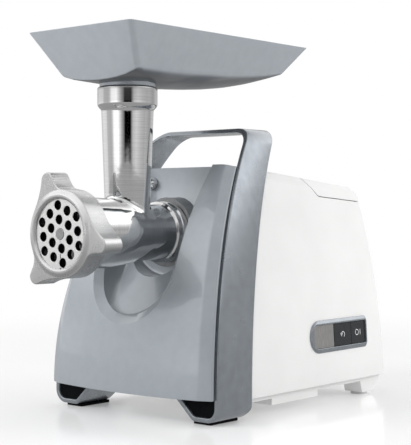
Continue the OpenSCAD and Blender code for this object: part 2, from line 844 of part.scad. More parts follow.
module output_gear() {
    in_frame() color(steel)
        gear(output_teeth, output_module, output_mesh_y[0], output_mesh_y[1], output_c, second_dir, output_r);
}
module output_shaft() {
    in_frame() color(steel) on_drive() difference() {
        union() {
            rod_y(13.5, 48, 64);
            rod_y(output_r, 64, output_mesh_y[1] + 1);
            rod_y(output_tail_r, output_mesh_y[1] + 1, box_back[1] - 0.5);
        }
        along_y(40, 63) square(12, center = true);
    }
}
module second_layshaft() {
    in_frame() color(steel) {
        rod_y(shaft_r, box_front[0] + 0.5, box_back[1] - 0.5, second_c[0], second_c[1]);
        gear(output_pinion_teeth, output_module, output_mesh_y[0], output_mesh_y[1] + 1, second_c,
            second_dir + 180 + 180 / output_pinion_teeth, 0);
    }
}
module second_gear() {
    in_frame() color([0.9, 0.88, 0.8])
        gear(second_teeth, second_module, second_mesh_y[0], second_mesh_y[1], second_c, first_dir, shaft_r);
}
module first_layshaft() {
    in_frame() color(steel) {
        rod_y(shaft_r, box_front[0] + 0.5, box_back[1] - 0.5, first_c[0], first_c[1]);
        gear(second_pinion_teeth, second_module, second_mesh_y[0], second_mesh_y[1] + 1, first_c,
            first_dir + 180 + 180 / second_pinion_teeth, 0);
    }
}
module first_gear() {
    in_frame() color([0.9, 0.88, 0.8])
        gear(first_teeth, first_module, first_mesh_y[0], first_mesh_y[1], first_c, motor_dir, shaft_r);
}

bush_r = 7;
output_bush_r = 16;
tail_bush_r = 12;
module gearbox_shape(grow) {
    translate(output_c) circle(45 + grow);
    translate(second_c) circle(31 + grow);
    translate(first_c) circle(31 + grow);
    translate(motor_c) circle(12 + grow);
}
gearbox_wall = 3;
gearbox_screw_places = [[41, 189], [-41, 189], [-34, 84], [33, 85]];
module gearbox_ears(r) {
    for (p = gearbox_screw_places) translate(p) circle(r);
}
module gearbox_housing() {
    in_frame() color([0.35, 0.36, 0.38]) difference() {
        union() {
            along_y(box_front[0], box_back[0] - 0.1) difference() {
                gearbox_shape(gearbox_wall);
                gearbox_shape(0);
            }
            along_y(box_front[0], box_front[1]) gearbox_shape(1);
            along_y(box_front[0], box_back[0] - 0.1) difference() {
                gearbox_ears(5);
                gearbox_shape(gearbox_wall - cut);
            }
        }
        rod_y(output_bush_r, 0, far, output_c[0], output_c[1]);
        for (c = [first_c, second_c]) rod_y(bush_r, 0, far, c[0], c[1]);
        for (p = gearbox_screw_places) rod_y(1.6, 96, 140, p[0], p[1]);
    }
}
module gearbox_cover() {
    in_frame() color([0.35, 0.36, 0.38]) difference() {
        along_y(box_back[0], box_back[1]) {
            gearbox_shape(gearbox_wall);
            gearbox_ears(5);
        }
        rod_y(tail_bush_r, 0, far, output_c[0], output_c[1]);
        for (c = [first_c, second_c]) rod_y(bush_r, 0, far, c[0], c[1]);
        rod_y(8.5, 0, far, motor_c[0], motor_c[1]);
        for (p = gearbox_screw_places) rod_y(1.7, 0, far, p[0], p[1]);
    }
}
module gearbox_screws() {
    in_frame() color(steel) for (p = gearbox_screw_places) {
        rod_y(1.5, 100, box_back[1], p[0], p[1]);
        rod_y(3, box_back[1], box_back[1] + 2, p[0], p[1]);
    }
}
module output_bushes() {
    in_frame() color(copper) {
        tube_y(output_r + 0.05, output_bush_r - 0.02, box_front[0], box_front[1], output_c[0], output_c[1]);
        tube_y(output_tail_r + 0.05, tail_bush_r - 0.02, box_back[0], box_back[1], output_c[0], output_c[1]);
    }
}
module layshaft_bushes() {
    in_frame() color(copper) for (c = [first_c, second_c], y = [box_front, box_back])
        tube_y(shaft_r + 0.05, bush_r - 0.02, y[0], y[1], c[0], c[1]);
}

// ---------------------------------------------------------------- motor
stator_y = [154, 198];
stator_half = 41;
stator_bore_r = 24;
armature_r = 23.2;
commutator_y = [212, 226];
bracket_y = [[123, 127], [230, 234]];
bearing_r = 9;
fan_y = [131, 139];
motor_bolt_x = 34;
module motor_stator() {
    in_frame() color([0.5, 0.5, 0.52]) along_y(stator_y[0], stator_y[1], motor_c[0], motor_c[1])
        difference() {
            intersection() {
                square(2 * stator_half, center = true);
                circle(50);
            }
            circle(stator_bore_r);
            for (s = [-1, 1]) {
                translate([s * 22, 0]) square([18, 40], center = true);
                for (x = [-1, 1]) translate([x * motor_bolt_x, s * 28]) circle(2.2);
            }
        }
}
module field_windings() {
    in_frame() color(copper) for (s = [-1, 1], y = [stator_y[0] - 9, stator_y[1]])
        along_y(y, y + 9, motor_c[0], motor_c[1]) translate([0, s * 31]) square([52, 9], center = true);
}
module armature_core() {
    in_frame() color([0.5, 0.5, 0.52]) along_y(stator_y[0] + 1, stator_y[1] - 1, motor_c[0], motor_c[1])
        difference() {
            circle(armature_r);
            circle(shaft_r);
            for (a = [0:30:330]) rotate(a) translate([armature_r - 4, 0]) square([9, 2.4], center = true);
        }
}
module armature_windings() {
    ends = [[stator_y[0] - 8, stator_y[0] + 0.9], [stator_y[1] - 0.9, stator_y[1] + 8]];
    in_frame() color(copper) for (y = ends)
        tube_y(shaft_r, 18, y[0], y[1], motor_c[0], motor_c[1]);
}
module commutator() {
    in_frame() color(copper) along_y(commutator_y[0], commutator_y[1], motor_c[0], motor_c[1])
        difference() {
            circle(12);
            circle(shaft_r);
            for (a = [0:30:330]) rotate(a) translate([11.5, 0]) square([2, 0.8], center = true);
        }
}
module motor_shaft() {
    in_frame() color(steel) {
        rod_y(shaft_r, first_mesh_y[1] + 1, bracket_y[1][1] + 1, motor_c[0], motor_c[1]);
        gear(motor_pinion_teeth, first_module, first_mesh_y[0] - 1, first_mesh_y[1] + 1, motor_c,
            motor_dir + 180 + 180 / motor_pinion_teeth, 0);
    }
}
module cooling_fan() {
    in_frame() color(black) {
        tube_y(shaft_r, 9, fan_y[0], fan_y[1], motor_c[0], motor_c[1]);
        tube_y(8, 32, fan_y[0], fan_y[0] + 1.5, motor_c[0], motor_c[1]);
        along_y(fan_y[0] + 1, fan_y[1], motor_c[0], motor_c[1])
            for (a = [0:40:320]) rotate(a) translate([8.5, -0.7]) square([23, 1.4]);
    }
}
module motor_brackets() {
    in_frame() color([0.55, 0.56, 0.58]) for (y = bracket_y)
        difference() {
            along_y(y[0], y[1], motor_c[0], motor_c[1]) difference() {
                union() {
                    circle(20);
                    square([84, 16], center = true);
                    square([16, 84], center = true);
                    for (s = [-1, 1], x = [-1, 1])
                        translate([x * motor_bolt_x, s * 28]) circle(6);
                    for (s = [-1, 1]) translate([s * motor_bolt_x, 0]) square([10, 56], center = true);
                    translate([-motor_bolt_x, -motor_c[1] + body_z]) square([2 * motor_bolt_x, 14]);
                }
                circle(bearing_r);
                for (s = [-1, 1], x = [-1, 1])
                    translate([x * motor_bolt_x, s * 28]) circle(2.2);
            }
        }
}
module motor_bearings() {
    in_frame() color(steel) for (y = bracket_y)
        tube_y(shaft_r + 0.05, bearing_r - 0.02, y[0], y[1], motor_c[0], motor_c[1]);
}
module motor_bolts() {
    in_frame() color(steel) for (s = [-1, 1], x = [-1, 1]) {
        rod_y(2, bracket_y[0][0] - 1, bracket_y[1][1], motor_c[0] + x * motor_bolt_x, motor_c[1] + s * 28);
        rod_y(4, bracket_y[1][1], bracket_y[1][1] + 3, motor_c[0] + x * motor_bolt_x, motor_c[1] + s * 28);
    }
}
module brush_holders() {
    in_frame() color([0.8, 0.7, 0.4]) for (s = [-1, 1])
        translate([motor_c[0] + s * 24, (commutator_y[0] + commutator_y[1]) / 2, motor_c[1]])
            difference() {
                cube([20, 12, 12], center = true);
                cube([21, 7, 8], center = true);
            }
}
module carbon_brushes() {
    in_frame() color([0.2, 0.2, 0.2]) for (s = [-1, 1])
        translate([motor_c[0] + s * 20.2, (commutator_y[0] + commutator_y[1]) / 2, motor_c[1]])
            cube([16, 6.8, 7.8], center = true);
}
module filter_capacitor() {
    in_frame() color([0.75, 0.6, 0.2]) translate([-76, 166, body_z]) cube([16, 34, 30]);
}

// ---------------------------------------------------------------- cord entry
cord_x = -50;
cord_z = 42;
cord_r = 7;
module cord_grommet() {
    face_y = rear_at(cord_z);
    in_frame() color(black) {
        tube_y(3.6, cord_r - 0.1, face_y - 12, face_y + 0.9, cord_x, cord_z);
        tube_y(3.6, cord_r + 2, face_y + 0.8, face_y + 1.6, cord_x, cord_z);
    }
}

front_housing();
handle_band();
rear_housing();
base_plate();
foot_fillers();
front_foot_pads();
rear_foot_pads();
control_bezel();
steel_insert();
control_board();
button_switches();
power_button();
reverse_button();
release_button();
drive_socket();
gearbox_housing();
gearbox_cover();
output_bushes();
layshaft_bushes();
gearbox_screws();
motor_stator();
field_windings();
motor_brackets();
motor_bearings();
motor_bolts();
brush_holders();
carbon_brushes();
filter_capacitor();
cord_grommet();
storage_bin();
lid_hinge_pin();
housing_screws();
armature_core();
armature_windings();
commutator();
motor_shaft();
cooling_fan();
first_gear();
first_layshaft();
second_gear();
second_layshaft();
output_gear();
output_shaft();
auger();
knife();
grinder_body();
perforated_disc();
screw_ring();
feed_tray();
storage_lid();
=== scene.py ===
"""Electric meat grinder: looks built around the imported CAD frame.

Shapes are worked out in millimetres. X and Z are the frame's own; Y is measured from the front edge
of the handle band at its base, as in the design, and put() moves it into the frame.
"""

import math

import bmesh
import bpy
import numpy as np
from mathutils import Matrix, Vector


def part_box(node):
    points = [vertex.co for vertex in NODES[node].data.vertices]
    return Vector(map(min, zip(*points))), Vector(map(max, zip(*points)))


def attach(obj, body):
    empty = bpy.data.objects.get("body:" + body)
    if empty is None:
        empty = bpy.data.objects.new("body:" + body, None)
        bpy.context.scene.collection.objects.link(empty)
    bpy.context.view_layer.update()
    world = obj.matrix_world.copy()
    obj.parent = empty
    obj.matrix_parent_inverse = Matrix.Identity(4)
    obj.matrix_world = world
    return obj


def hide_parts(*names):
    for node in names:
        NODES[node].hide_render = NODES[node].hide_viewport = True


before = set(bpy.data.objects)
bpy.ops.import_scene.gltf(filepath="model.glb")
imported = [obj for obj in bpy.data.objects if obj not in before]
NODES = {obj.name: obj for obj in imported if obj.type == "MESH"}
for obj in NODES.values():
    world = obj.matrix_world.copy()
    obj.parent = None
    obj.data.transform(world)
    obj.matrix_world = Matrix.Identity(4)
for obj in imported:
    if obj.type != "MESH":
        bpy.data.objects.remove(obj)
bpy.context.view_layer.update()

MM = 0.001

# ---------------- dimensions, from the frame
BAND_LOW, BAND_HIGH = (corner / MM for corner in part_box("handle_band"))
RING_LOW, RING_HIGH = (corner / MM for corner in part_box("screw_ring"))
TRAY_LOW, TRAY_HIGH = (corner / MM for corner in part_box("feed_tray"))
DISC_LOW, DISC_HIGH = (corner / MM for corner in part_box("perforated_disc"))
BODY_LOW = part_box("rear_housing")[0] / MM
PANEL_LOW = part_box("front_housing")[0] / MM

Y0 = BAND_LOW.y
HALF_W = BAND_HIGH.x
HANDLE_TOP = BAND_HIGH.z
DRIVE_Z = (DISC_LOW.z + DISC_HIGH.z) / 2
THROAT_Y = -5.5
# The sides lean inwards and the band sweeps back, both on large radii that start at CURVE_Z
LEAN_R = 680.0
SWEEP_R = 333.0
REAR_SWEEP_R = 360.0
CURVE_Z = 20.0
BAND_DEPTH = 46.0
BAND_T = 4.0
BAND_GAP = 0.4
WALL = 2.6


def sag(radius, z):
    rise = np.maximum(np.asarray(z, float) - CURVE_Z, 0)
    return radius - np.sqrt(radius ** 2 - rise ** 2)


def side_x(z):
    return HALF_W - sag(LEAN_R, z)


def front_y(z):
    return sag(SWEEP_R, z)


def back_y(z):
    return BAND_DEPTH + sag(REAR_SWEEP_R, z)


# ---------------- mesh tools
def put(points):
    """Millimetres with Y from the band's front edge, to metres in the frame."""
    points = np.array(points, float).reshape(-1, 3)
    points[:, 1] += Y0
    return points * MM


def smooth(t):
    t = np.clip(t, 0, 1)
    return t * t * (3 - 2 * t)


def soften(rows, cuts, n=4, closed=False):
    """Rounds the corners between rows of points; a cut says how far from its row the round starts."""
    rows = np.asarray(rows, float)
    out = []
    for i, cut in enumerate(cuts):
        if not cut or (not closed and i in (0, len(rows) - 1)):
            out.append(rows[i])
            continue
        corner, before, after = rows[i], rows[i - 1] - rows[i], rows[(i + 1) % len(rows)] - rows[i]
        ends = []
        for leg in (before, after):
            length = np.linalg.norm(leg, axis=-1, keepdims=True)
            ends.append(corner + leg * np.minimum(cut, 0.45 * length) / np.maximum(length, 1e-9))
        for s in np.linspace(0, 1, n + 1):
            out.append((1 - s) ** 2 * ends[0] + 2 * s * (1 - s) * corner + s * s * ends[1])
    return np.array(out)


def inset(row, distance):
    """Moves a closed ring of points inwards in X and Y."""
    ahead = np.roll(row, -1, 0) - np.roll(row, 1, 0)
    normal = np.stack([-ahead[:, 1], ahead[:, 0]], 1)
    normal /= np.maximum(np.linalg.norm(normal, axis=1, keepdims=True), 1e-9)
    area = np.sum(row[:, 0] * np.roll(row[:, 1], -1) - row[:, 1] * np.roll(row[:, 0], -1))
    out = row.copy()
    out[:, :2] += np.sign(area) * distance * normal
    return out


def arc(centre, radius, start, end, n):
    turn = np.radians(np.linspace(start, end, n + 1))
    return np.stack([centre[0] + radius * np.cos(turn), centre[1] + radius * np.sin(turn)], 1)


def mirrored(half):
    """A whole outline from its right half."""
    half = np.asarray(half, float)
    return np.concatenate([half, half[::-1] * [-1, 1]])


def at_height(outline, z):
    return np.column_stack([outline, np.full(len(outline), float(z))])


def add_object(name, data):
    item = bpy.data.objects.new(name, data)
    bpy.context.scene.collection.objects.link(item)
    return item


def make_object(name, vertices, faces):
    mesh = bpy.data.meshes.new(name)
    mesh.from_pydata([tuple(v) for v in vertices], [], faces)
    piece = add_object(name, mesh)
    settle(piece)
    return piece


def settle(piece):
    """Joins doubled points and turns every face outwards."""
    work = bmesh.new()
    work.from_mesh(piece.data)
    bmesh.ops.remove_doubles(work, verts=work.verts, dist=1e-6)
    bmesh.ops.recalc_face_normals(work, faces=work.faces)
    work.to_mesh(piece.data)
    work.free()


def cap(first, size):
    """Strips that close a ring whose second half mirrors its first."""
    faces = []
    for i in range((size - 1) // 2):
        corners = [i, i + 1, size - 2 - i, size - 1 - i]
        faces.append([first + c for c in sorted(set(corners), key=corners.index)])
    return faces


def skin(name, rows, wrap=False, mirror=False):
    """A closed solid over rings; wrap joins the last ring to the first, or else both are capped."""
    rows = np.asarray(rows, float)
    count, size = rows.shape[:2]
    faces = []
    for j in range(count if wrap else count - 1):
        a, b = j * size, (j + 1) % count * size
        for i in range(size):
            k = (i + 1) % size
            faces.append((a + i, a + k, b + k, b + i))
    if mirror:
        faces += cap(0, size) + cap((count - 1) * size, size)
    elif not wrap:
        faces.append(tuple(range(size)))
        faces.append(tuple((count - 1) * size + i for i in reversed(range(size))))
    return make_object(name, put(rows.reshape(-1, 3)), faces)


def revolve(name, profile, axis, centre, n=128, wrap=False):
    """Turns a profile of (radius, length) about an axis along Y or Z."""
    turn = np.linspace(0, 2 * math.pi, n, endpoint=False)
    rows = []
    for radius, length in profile:
        u, v = radius * np.cos(turn), radius * np.sin(turn)
        w = np.full(n, length)
        if axis == "z":
            rows.append(np.stack([centre[0] + u, centre[1] + v, w], 1))
        else:
            rows.append(np.stack([centre[0] + u, w, centre[1] + v], 1))
    return skin(name, rows, wrap)


def prism(name, outline, low, high, axis):
    """An outline extruded along X (outline in Y, Z) or along Y (outline in X, Z)."""
    outline = np.asarray(outline, float)
    rows = []
    for level in (low, high):
        level = np.full(len(outline), float(level))
        if axis == "x":
            rows.append(np.stack([level, outline[:, 0], outline[:, 1]], 1))
        else:
            rows.append(np.stack([outline[:, 0], level, outline[:, 1]], 1))
    return skin(name, rows)


def bake(piece):
    """Applies all modifiers of a piece."""
    graph = bpy.context.evaluated_depsgraph_get()
    mesh = bpy.data.meshes.new_from_object(piece.evaluated_get(graph), depsgraph=graph)
    piece.modifiers.clear()
    old = piece.data
    piece.data = mesh
    bpy.data.meshes.remove(old)


def combine(piece, tool, operation="DIFFERENCE", crossing=False):
    """A boolean; crossing also resolves a surface that touches itself."""
    change = piece.modifiers.new("change", "BOOLEAN")
    change.operation = operation
    change.solver = "EXACT"
    change.use_self = crossing
    change.object = tool
    bake(piece)
    bpy.data.objects.remove(tool)


def add_bevel(piece, width, angle, segments):
    bevel = piece.modifiers.new("round", "BEVEL")
    bevel.width = width * MM
    bevel.segments = segments
    bevel.limit_method = "ANGLE"
    bevel.angle_limit = math.radians(angle)
    return bevel


def shade(piece, angle=32):
    for face in piece.data.polygons:
        face.use_smooth = True
    piece.data.set_sharp_from_angle(angle=math.radians(angle))


def dress(piece, material, body, slot, *nodes):
    """Gives a finished piece its material, its body and the CAD nodes that it stands for; slot is not
    used.
    """
    piece.data.materials.clear()
    piece.data.materials.append(material)
    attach(piece, body)
    if nodes:
        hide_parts(*nodes)


# ---------------- material tools
EVEN = (1, 1, 1)


class Paint:
    """A Principled material with a few procedural inputs."""

    def __init__(self, name, **values):
        self.material = bpy.data.materials.new(name)
        self.material.use_nodes = True
        self.tree = self.material.node_tree
        self.shader = self.tree.nodes["Principled BSDF"]
        for socket, value in values.items():
            self.shader.inputs[socket.replace("_", " ")].default_value = value

    def node(self, kind, **values):
        node = self.tree.nodes.new(kind)
        for key, value in values.items():
            setattr(node, key, value)
        return node

    def link(self, a, b):
        self.tree.links.new(a, b)

    def coordinates(self, stretch):
        place = self.node("ShaderNodeTexCoord")
        mapping = self.node("ShaderNodeMapping")
        mapping.inputs["Scale"].default_value = stretch
        self.link(place.outputs["Object"], mapping.inputs["Vector"])
        return mapping.outputs["Vector"]

    def noise(self, size_mm, stretch=EVEN, detail=3.0):
        """Noise whose features are about size_mm across, times stretch along each axis."""
        texture = self.node("ShaderNodeTexNoise")
        texture.inputs["Scale"].default_value = 1 / (size_mm * MM)
        texture.inputs["Detail"].default_value = detail
        self.link(self.coordinates([1 / s for s in stretch]), texture.inputs["Vector"])
        return texture.outputs["Fac"]

    def ranged(self, value, low, high, to_low=0.0, to_high=1.0, eased=False):
        """Maps a value from one range to another."""
        node = self.node("ShaderNodeMapRange", interpolation_type="SMOOTHSTEP" if eased else "LINEAR")
        sockets = "From Min", "From Max", "To Min", "To Max"
        for socket, number in zip(sockets, (low, high, to_low, to_high)):
            node.inputs[socket].default_value = number
        self.link(value, node.inputs["Value"])
        return node.outputs["Result"]

    def spread(self, fac, low, high):
        """Maps the middle of a noise's range to low and high."""
        return self.ranged(fac, 0.3, 0.7, low, high)

    def tint(self, fac, low, high):
        mix = self.node("ShaderNodeMix", data_type="RGBA")
        mix.inputs["A"].default_value = (*low, 1)
        mix.inputs["B"].default_value = (*high, 1)
        self.link(self.spread(fac, 0, 1), mix.inputs["Factor"])
        self.link(mix.outputs["Result"], self.shader.inputs["Base Color"])
        return mix.outputs["Result"]

    def roughness(self, fac, low, high):
        self.link(self.spread(fac, low, high), self.shader.inputs["Roughness"])

    def bump(self, fac, height_mm):
        bump = self.node("ShaderNodeBump")
        bump.inputs["Distance"].default_value = height_mm * MM
        self.link(fac, bump.inputs["Height"])
        if self.shader.inputs["Normal"].is_linked:
            self.link(self.shader.inputs["Normal"].links[0].from_socket, bump.inputs["Normal"])
        self.link(bump.outputs["Normal"], self.shader.inputs["Normal"])


def lacquer(name, low, high, metallic, rough, coat, underside_shade=1.0):
    """Silver-grey lacquer over plastic; the last argument is how bright painted shade leaves the faces
    that look down.
    """
    paint = Paint(name, Metallic=metallic, Coat_Weight=coat, Coat_Roughness=0.04, Specular_IOR_Level=0.5)
    flakes = paint.noise(9, detail=2)
    color = paint.tint(flakes, low, high)
    painted_shade_by_direction(paint, color, underside_shade, -0.97, -0.6)
    paint.roughness(paint.noise(25, detail=2), rough - 0.03, rough + 0.04)
    return paint.material


def painted_shade_by_direction(paint, color, darkest_painted_shade, low=-0.75, high=0.25):
    """Painted shade: darkens a finish's colour on the sides that face down, between two values of the
    normal's Z.
    """
    geometry = paint.node("ShaderNodeNewGeometry")
    split = paint.node("ShaderNodeSeparateXYZ")
    paint.link(geometry.outputs["Normal"], split.inputs["Vector"])
    scale = paint.node("ShaderNodeVectorMath", operation="SCALE")
    paint.link(color, scale.inputs[0])
    level = paint.ranged(split.outputs["Z"], low, high, darkest_painted_shade, eased=True)
    paint.link(level, scale.inputs["Scale"])
    paint.link(scale.outputs["Vector"], paint.shader.inputs["Base Color"])


def turned_steel():
    """Polished steel with fine turning marks, which run round the throat and round the barrel."""
    paint = Paint("turned_steel", Metallic=1.0)
    across = paint.noise(0.5, (60, 60, 1), detail=3)
    along = paint.noise(0.5, (60, 1, 60), detail=3)
    place = paint.node("ShaderNodeTexCoord")
    split = paint.node("ShaderNodeSeparateXYZ")
    paint.link(place.outputs["Object"], split.inputs["Vector"])
    above = paint.ranged(split.outputs["Z"], (DRIVE_Z + 26) * MM, (DRIVE_Z + 34) * MM, eased=True)
    marks = paint.node("ShaderNodeMix", data_type="FLOAT")
    paint.link(above, marks.inputs["Factor"])
    paint.link(along, marks.inputs["A"])
    paint.link(across, marks.inputs["B"])
    metal = paint.tint(marks.outputs["Result"], (0.70, 0.70, 0.70), (0.83, 0.83, 0.83))
    # Painted shade: the sides that face down are darkened to 0.85 of the colour
    painted_shade_by_direction(paint, metal, 0.85)
    paint.roughness(paint.noise(14, detail=4), 0.03, 0.08)
    paint.bump(marks.outputs["Result"], 0.0012)
    paint.bump(paint.noise(16, detail=2), 0.04)
    return paint.material


def finish(name, tint, roughness, *bumps, darkest_painted_shade=1.0, **values):
    """A finish from noises: a tint between two colours, a roughness between two values, and bumps."""
    paint = Paint(name, **values)
    grain, low, high = tint
    color = paint.tint(paint.noise(*grain), low, high)
    # A value below 1 paints shade on the sides that face down
    if darkest_painted_shade < 1:
        painted_shade_by_direction(paint, color, darkest_painted_shade)
    grain, low, high = roughness
    paint.roughness(paint.noise(*grain), low, high)
    for grain, height in bumps:
        paint.bump(paint.noise(*grain), height)
    return paint.material


def rubber(name, low, high):
    return finish(name, ((2, EVEN, 4), low, high), ((3, EVEN, 3), 0.5, 0.7), ((0.4, EVEN, 3), 0.03),
                  Specular_IOR_Level=0.06)


def plain_metal(name, low, high, rough):
    """A machined metal that is mostly hidden."""
    return finish(name, ((1.2, (1, 20, 1), 3), low, high), ((4, EVEN, 3), rough - 0.05, rough + 0.08),
                  ((0.6, (1, 20, 1), 2), 0.006), Metallic=1.0)


def plain_plastic(name, low, high, rough):
    """A moulded plastic that is mostly hidden."""
    return finish(name, ((3, EVEN, 3), low, high), ((5, EVEN, 3), rough - 0.05, rough + 0.08),
                  ((0.7, EVEN, 3), 0.01), Specular_IOR_Level=0.4)


PANEL = lacquer("panel_lacquer", (0.33, 0.362, 0.396), (0.35, 0.382, 0.416), 0.3, 0.34, 1.0)
# The tray's faces that look down get painted shade, down to 0.2 of their colour
TRAY = lacquer("tray_lacquer", (0.45, 0.485, 0.525), (0.48, 0.515, 0.555), 0.4, 0.36, 0.3, 0.2)
BAND = lacquer("band_lacquer", (0.30, 0.325, 0.355), (0.34, 0.37, 0.40), 0.75, 0.24, 0.3)
WHITE = finish("white_plastic", ((40, EVEN, 2), (0.80, 0.80, 0.795), (0.83, 0.83, 0.825)),
               ((9, EVEN, 3), 0.30, 0.38), ((0.5, EVEN, 2), 0.004), Specular_IOR_Level=0.45)
RUBBER = rubber("black_rubber", (0.002, 0.0024, 0.003), (0.004, 0.0046, 0.0055))
PALE_RUBBER = rubber("pale_rubber", (0.55, 0.55, 0.55), (0.62, 0.62, 0.62))
GLOSS = finish("gloss_black", ((6, EVEN, 2), (0.006, 0.008, 0.010), (0.010, 0.012, 0.014)),
               ((5, EVEN, 3), 0.16, 0.24), ((3, EVEN, 1), 0.004),
               Specular_IOR_Level=0.5, Coat_Weight=0.4, Coat_Roughness=0.05)
STEEL = turned_steel()
# The ring's sides that face down get painted shade, down to half their colour
SATIN = finish("satin_aluminium", ((0.6, (1, 30, 1), 3), (0.62, 0.62, 0.62), (0.70, 0.70, 0.70)),
               ((10, EVEN, 4), 0.24, 0.36), ((0.35, (1, 6, 1), 2), 0.003), darkest_painted_shade=0.5, Metallic=0.75)
DISC = finish("disc_steel", ((0.4, (30, 1, 1), 3), (0.88, 0.88, 0.875), (0.96, 0.96, 0.955)),
              ((8, EVEN, 4), 0.16, 0.26), ((0.3, (30, 1, 1), 2), 0.004), Metallic=0.7)
# The insert's steel is brushed up and down the wall
BRUSHED = finish("brushed_steel", ((0.5, (1, 1, 40), 3), (0.42, 0.41, 0.40), (0.62, 0.61, 0.60)),
                 ((3, (1, 1, 10), 3), 0.32, 0.45), ((0.5, (1, 1, 40), 2), 0.02), Metallic=1.0)
# Near-black steel is painted shade: the knife and the disc's hole walls are bright steel that lies in
# shade
PAINTED_SHADE_STEEL = plain_metal("painted_shade_steel", (0.035, 0.035, 0.036), (0.07, 0.07, 0.07), 0.45)
CHROME = plain_metal("chrome", (0.75, 0.75, 0.75), (0.85, 0.85, 0.85), 0.12)
MARK = plain_plastic("button_mark", (0.75, 0.76, 0.78), (0.85, 0.86, 0.88), 0.5)


# ---------------- front housing
PANEL_Z0 = PANEL_LOW.z
PANEL_Z1 = 222.0
PANEL_BACK = 22.0
BULGE = 19.0
# The crease beside the bowed face: how far ahead of the band, and how far in from the side, low and high
CREASE_Y = 10.5
CREASE_LOW = 14.0
CREASE_HIGH = 7.5
BOW_N = 48
LIP_X = 2.0
# The top slopes from TOP_Y, TOP_Z down to the rear; ahead of that it rises a little to the face
TOP_Y, TOP_Z = 60.0, 220.2
REAR_TOP_Y, REAR_TOP_Z = 242.5, 202.3
TOP_SLOPE = (TOP_Z - REAR_TOP_Z) / (REAR_TOP_Y - TOP_Y)
FRONT_SLOPE = 0.06
SHOULDER_X, SHOULDER_DROP = 16.0, 2.2


def crease_x(z):
    return side_x(z) - CREASE_LOW + (CREASE_LOW - CREASE_HIGH) * (z - PANEL_Z0) / (PANEL_Z1 - PANEL_Z0)


def bow_y(z, x):
    return front_y(z) - BULGE + (BULGE - CREASE_Y) * (x / crease_x(z)) ** 2


def panel_outline(z):
    w, f, c = side_x(z), front_y(z), crease_x(z)
    inner = w - BAND_T - BAND_GAP
    lip = [[inner, f + PANEL_BACK], [inner, f - 1.5], [w - LIP_X, f - 2.6], [w - LIP_X, f - 4.5],
           [c, f - CREASE_Y]]
    x = c * (1 - 2 * np.arange(1, BOW_N) / BOW_N)
    face = np.stack([x, bow_y(z, x)], 1)
    outline = np.concatenate([lip, face, np.array(lip[::-1]) * [-1, 1]])
    lip_cuts = [0, 0, 0.5, 1.2, 1.6]
    return soften(outline, lip_cuts + [0] * len(face) + lip_cuts[::-1], 4, closed=True)


def panel_block():
    """The housing without its channel, with its sloping top and softened rims."""
    edge = 0.7
    rows = [at_height(panel_outline(z), z) for z in np.linspace(PANEL_Z0, TOP_Z, 44)]
    rows = np.array([inset(rows[0], edge), *rows, inset(rows[-1], edge)])
    rise = smooth((rows[..., 2] - 150) / (TOP_Z - 150))
    behind = rows[..., 1] - TOP_Y
    outer = smooth((np.abs(rows[..., 0]) - side_x(TOP_Z) + SHOULDER_X) / SHOULDER_X)
    slope = TOP_SLOPE * np.maximum(behind, 0) - FRONT_SLOPE * np.minimum(behind, 0)
    rows[..., 2] -= rise * (slope + SHOULDER_DROP * outer ** 2)
    cuts = [0, edge] + [0] * (len(rows) - 4) + [edge, 0]
    return skin("front_shell", soften(rows, cuts, 3), mirror=True)


CHANNEL_Z = 129.0
CHANNEL_R = 48.0
CHANNEL_TOP_Z = 245.0
POCKET_R = 39.5
POCKET_Y = 43.6
POCKET_WALL_R = 45.0
POCKET_WALL_Y = 28.0, 50.0
SOCKET_HOLE_R = 31.2
RELEASE_X, RELEASE_Z, RELEASE_HOLE_R = -33.0, 204.0, 5.5


def channel_floor(z):
    """Lengthwise position of the channel's floor, which comes forward towards its lower end."""
    return 65 - 77 * (np.maximum(PANEL_Z1 - z, 0) / 141) ** 1.84


def flare_width(z):
    """How wide the chamfer along the channel's rim is: a line at the top, a broad strip lower down."""
    return 1.2 + 5.6 * smooth((212 - z) / 100)


